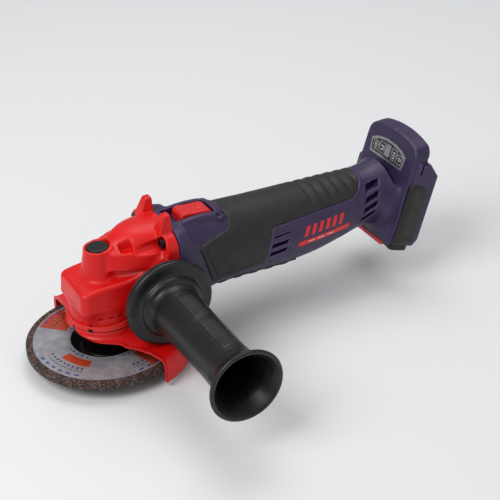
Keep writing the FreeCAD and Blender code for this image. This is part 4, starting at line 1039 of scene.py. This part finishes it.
def guard_points():
    """Section carried from the near edge's angle to the far edge's, closed into a sheet with a wall."""
    path = rounded_path(GUARD_SECTION, 2.5, 0.9)
    tangent = np.gradient(path, axis=0)
    normal = np.stack([tangent[:, 1], -tangent[:, 0]], axis=1)
    normal /= np.linalg.norm(normal, axis=1, keepdims=True)
    inner = path + normal * GUARD_WALL
    inner[:, 1] = np.maximum(inner[:, 1], path[-1, 1])
    loop = np.concatenate([path, inner[::-1]])
    reach = np.clip(np.concatenate([path[:, 0], path[::-1, 0]]), 26, GUARD_R)
    near = curve_through(reach, (26, 31, 40, 52, 60, 68), (-176, -112, -87, -74.5, -72.2, -71.3))
    far = curve_through(reach, (26, 31, 40, 52, 60, 68), (188, 142, 118, 109, 106, 103.8))
    share = np.linspace(0, 1, GUARD_STEPS)
    turn = np.radians(near[None, :] + share[:, None] * (far - near)[None, :])
    from_edge = np.minimum(share, 1 - share)[:, None] * np.radians(far - near)[None, :] * reach[None, :]
    bead = 0.9 * np.exp(-((from_edge / 1.3) ** 2))
    lift = bead * eased(reach, 27, 31)[None, :]
    outward = np.concatenate([-normal, np.zeros_like(normal)])
    r = loop[None, :, 0] + lift * outward[None, :, 0]
    z = loop[None, :, 1] + lift * outward[None, :, 1]
    return np.stack([r * np.cos(turn), r * np.sin(turn), z], axis=-1), len(path)


points, half = guard_points()
rows, columns = points.shape[:2]
faces = closed_tube(points)
ends = []
for row, flip in ((0, False), (rows - 1, True)):
    ring_index = row * columns + np.arange(columns)
    outer, inner = ring_index[:half], ring_index[half:][::-1]
    cap = np.stack([outer[:-1], outer[1:], inner[1:], inner[:-1]], axis=-1)
    ends.append(cap[:, ::-1] if flip else cap)
faces = np.concatenate([faces] + ends)
guard = mesh_object("guard_hood", points.reshape(-1, 3), faces)
print("guard:", len(faces), "quads")
dressed(guard, "guard", "red_steel", replaces=["guard_shell"])

# %% [markdown]
# ## Slide switch
# The red slide has a high front edge for the thumb and a long sloping back. Two low marks raised on
# its top, a bar and a ring, show on and off.

# %% Slide switch
def slide_shape(x, y, z):
    front, rear, top = SLIDE_LOW[0] + 0.6, SLIDE_HIGH[0] - 0.6, SLIDE_HIGH[2]
    corners = [
        (front, 101), (rear, 101), (rear, top - 3.2), (rear - 3, top - 1.6), (front + 10, top - 0.7),
        (front + 5, top), (front + 1.6, top - 0.5), (front, top - 2.6),
    ]
    body = both(polygon(x, z, corners), np.abs(y) - SLIDE_HIGH[1] + 1.0 + 0.12 * (z - 103), 1.3)
    bar = rectangle(x - front - 10.5, y, 0.5, 2.6, 0.3)
    circle = np.abs(np.hypot(x - front - 19.5, y) - 2.1) - 0.5
    return body - 0.35 * eased(-np.minimum(bar, circle), -0.4, 0.2) * (z > top - 3)


slide = moulded("slide_switch_cap", slide_shape, SLIDE_LOW + (-1, -1, 2), SLIDE_HIGH + 1, 0.45)
dressed(slide, "slide_switch", "red_plastic", replaces=["slide_knob"])

# %% [markdown]
# ## Lock button
# A ribbed black disc that stands just proud of its boss: fine parallel ribs under a rounded edge. Under
# it is the stem, and at the end of the stem the flat blade that drops into the spindle's slot.

# %% Lock button
STEM_LOW, STEM_TOP, BLADE_LOW = 88.1, 94.5, BUTTON_LOW[2]
STEM_RADIUS = 4.0


def button_shape(x, y, z):
    top = BUTTON_HIGH[2] - 0.25 - 0.004 * (x * x + y * y)
    ribs = 0.28 * np.sin(x * 2 * np.pi / 1.7) * (1 - eased(np.hypot(x, y), BUTTON_R - 2.2, BUTTON_R - 1.2))
    cap = both(np.hypot(x, y) - BUTTON_R, np.maximum(z - top - ribs, BUTTON_HIGH[2] - 6.3 - z), 0.8)
    stem_ends = np.abs(z - (STEM_LOW + STEM_TOP) / 2) - (STEM_TOP - STEM_LOW) / 2
    stem = np.maximum(np.hypot(x, y) - STEM_RADIUS, stem_ends)
    middle, half = (BLADE_LOW + STEM_LOW + 0.4) / 2, (STEM_LOW + 0.4 - BLADE_LOW) / 2
    return joined(joined(cap, stem, 0.3), brick(x, y, z - middle, (1.0, 3.4, half), 0.1), 0.2)


button = moulded("lock_button_cap", button_shape, (-9, -9, 84), (9, 9, 101), 0.4)
dressed(button, "lock_button", "black_plastic", replaces=["lock_button"])

# %% [markdown]
# ## Decals and label
# The panel carries a red slanted bar with slashes and the foot a gauge label with simple signs. They are
# thin films, so each is a slab: one grid laid on the surface, a second just under it, and a rim of
# faces that closes the two.

# %% Slabs
def slab(top, bottom):
    """Points and faces of a closed sheet between two grids of the same size."""
    rows, columns = top.shape[:2]
    index = np.arange(rows * columns).reshape(rows, columns)
    under = index + rows * columns
    upper = np.stack([index[:-1, :-1], index[1:, :-1], index[1:, 1:], index[:-1, 1:]], axis=-1)
    upper = upper.reshape(-1, 4)
    lower = upper[:, ::-1] + rows * columns
    rim = np.concatenate([index[0, :], index[1:, -1], index[-1, -2::-1], index[-2:0:-1, 0]])
    under_rim = np.concatenate([under[0, :], under[1:, -1], under[-1, -2::-1], under[-2:0:-1, 0]])
    wall = np.stack([rim, np.roll(rim, -1), np.roll(under_rim, -1), under_rim], axis=-1)
    return np.concatenate([top.reshape(-1, 3), bottom.reshape(-1, 3)]), np.concatenate([upper, lower, wall])


def gathered(slabs):
    """Several slabs as one set of points and faces."""
    points, faces, count = [], [], 0
    for some_points, some_faces in slabs:
        points.append(some_points)
        faces.append(some_faces + count)
        count += len(some_points)
    return np.concatenate(points), np.concatenate(faces)


def outward_faces(item):
    """Turns every face of a closed film outwards."""
    edit = bmesh.new()
    edit.from_mesh(item.data)
    bmesh.ops.recalc_face_normals(edit, faces=edit.faces)
    edit.to_mesh(item.data)
    edit.free()
    return item


# %% Side decals
DECAL_LEAN = 0.42


def decal(side, start, end, low, high, lift=0.12):
    """Slanted film on the side panel between two x and two z; its ends lean back."""
    s, t = np.meshgrid(np.linspace(0, 1, 40), np.linspace(0, 1, 9), indexing="ij")
    z = low + (high - low) * t + 0.03 * ((start + (end - start) * s) - 186)
    x = start + (end - start) * s + DECAL_LEAN * (z - low)
    layers = []
    for depth in (lift, -0.3):
        radius = body_radius(x) - 0.45 + depth
        y = side * np.sqrt(np.maximum(radius**2 - (z - body_centre(x)) ** 2, 0))
        layers.append(np.stack([x, y, z], axis=-1))
    return slab(*layers)


bars, slashes = [], []
for side in (-1, 1):
    bars.append(decal(side, 158, 209, 65.4, 69.6))
    for i in range(6):
        bars.append(decal(side, 164 + 6.6 * i, 167.4 + 6.6 * i, 72.6, 81.0))
    for i in range(3):
        slashes.append(decal(side, 168 + 9 * i, 174 + 9 * i, 67.0, 67.9, lift=0.2))
decals = outward_faces(mesh_object("panel_decals", *gathered(bars)))
dressed(decals, "housing", "decal_red")
marks = outward_faces(mesh_object("panel_decal_lines", *gathered(slashes)))
dressed(marks, "housing", "decal_white")

# %% Gauge label signs
LABEL_LIFT = (-1.35, -1.1)


def label_stroke(start, end, width):
    """Straight stroke on the label between two (across, up) places."""
    start, end = np.array(start, float), np.array(end, float)
    along = (end - start) / np.linalg.norm(end - start)
    beside = np.array([-along[1], along[0]]) * width / 2
    grid = np.array([[start - beside, end - beside], [start + beside, end + beside]])
    return slab(*[from_foot(grid[..., 0], grid[..., 1], out) for out in LABEL_LIFT])


def label_outline(x0, x1, low, high, width):
    """Four strokes round an upright box on the label."""
    corners = [(x0, low), (x1, low), (x1, high), (x0, high)]
    return [label_stroke(start, end, width) for start, end in zip(corners, corners[1:] + corners[:1])]


def label_ring(centre, radius, width, first=0.0, last=360.0):
    """Arc on the label: the stroke between two radii from one angle to another."""
    turn = np.radians(np.linspace(first, last, 25))
    rings = np.array([radius - width / 2, radius + width / 2])
    across = centre[0] + rings[:, None] * np.cos(turn)
    up = centre[1] + rings[:, None] * np.sin(turn)
    return slab(*[from_foot(across, up, out) for out in LABEL_LIFT])


signs = []
for x0, x1 in ((-20.3, -13.2), (-11.8, -5.2), (5.2, 11.8), (13.2, 20.3)):
    top = 63.8 if abs(x0 + x1) > 20 else 66.0
    signs.extend(label_outline(x0, x1, 56.6, top, 0.25))
signs.append(label_ring((-16.7, 60), 1.8, 0.5, 30, 200))
signs.append(label_ring((-16.7, 60), 0.8, 0.5, 200, 420))
signs.append(label_ring((8.6, 61), 1.8, 0.8, 40, 320))
for up in (58.6, 60.8, 63.0):
    signs.append(label_stroke((-10.2, up), (-7.0, up), 0.8))
signs.extend(label_outline(15.8, 17.8, 58.2, 62.2, 0.6))
label_signs = outward_faces(mesh_object("gauge_signs", *gathered(signs)))
dressed(label_signs, "housing", "decal_white")

# %% Arrow on the snout
def on_snout(x, y, lift):
    """Height of the snout's top skin at x, y, plus a lift."""
    return np.stack([x, y, snout_top(x, y) + lift], axis=-1)


s, t = np.meshgrid(np.linspace(0, 1, 12), np.linspace(-1, 1, 7), indexing="ij")
tip = np.array([-17.0, 3.0])
heading = np.array([0.30, -0.95])
beside = np.array([0.95, 0.30])
spread = 2.0 * s + 0.01
x = tip[0] + heading[0] * 4.2 * s + beside[0] * spread * t
y = tip[1] + heading[1] * 4.2 * s + beside[1] * spread * t
arrow = outward_faces(mesh_object("turn_arrow", *slab(on_snout(x, y, 0.12), on_snout(x, y, -0.4))))
dressed(arrow, "housing", "decal_white")

# %% [markdown]
# ## CAD parts that keep their own shape
# Screws, gears, bearings, the spindle and the motor are turned or ground to simple shapes, so their
# CAD meshes are already right and only get their finish.

# %% Finish of the CAD parts
for part in frame["record"]["subparts"]:
    node = frame["nodes"][part["node"]]
    node.data.materials.clear()
    node.data.materials.append(materials[part["material_slot"]])
print("finished", len(frame["nodes"]), "CAD nodes")

# %% Floor
floor = mesh_object(
    "studio_floor",
    np.array([(-1, -1, 0), (1, -1, 0), (1, 1, 0), (-1, 1, 0)]) * FLOOR_SIZE / 2 / MM
    + np.array([0, 0, box_low[2] / MM - 0.05]),
    [(0, 1, 2, 3)],
)
_, floor_shader = new_material("pale_floor", specular=0.2)
floor_shader.inputs["Base Color"].default_value = (0.86, 0.865, 0.87, 1)
floor_shader.inputs["Roughness"].default_value = 0.7
floor.data.materials.append(materials["pale_floor"])
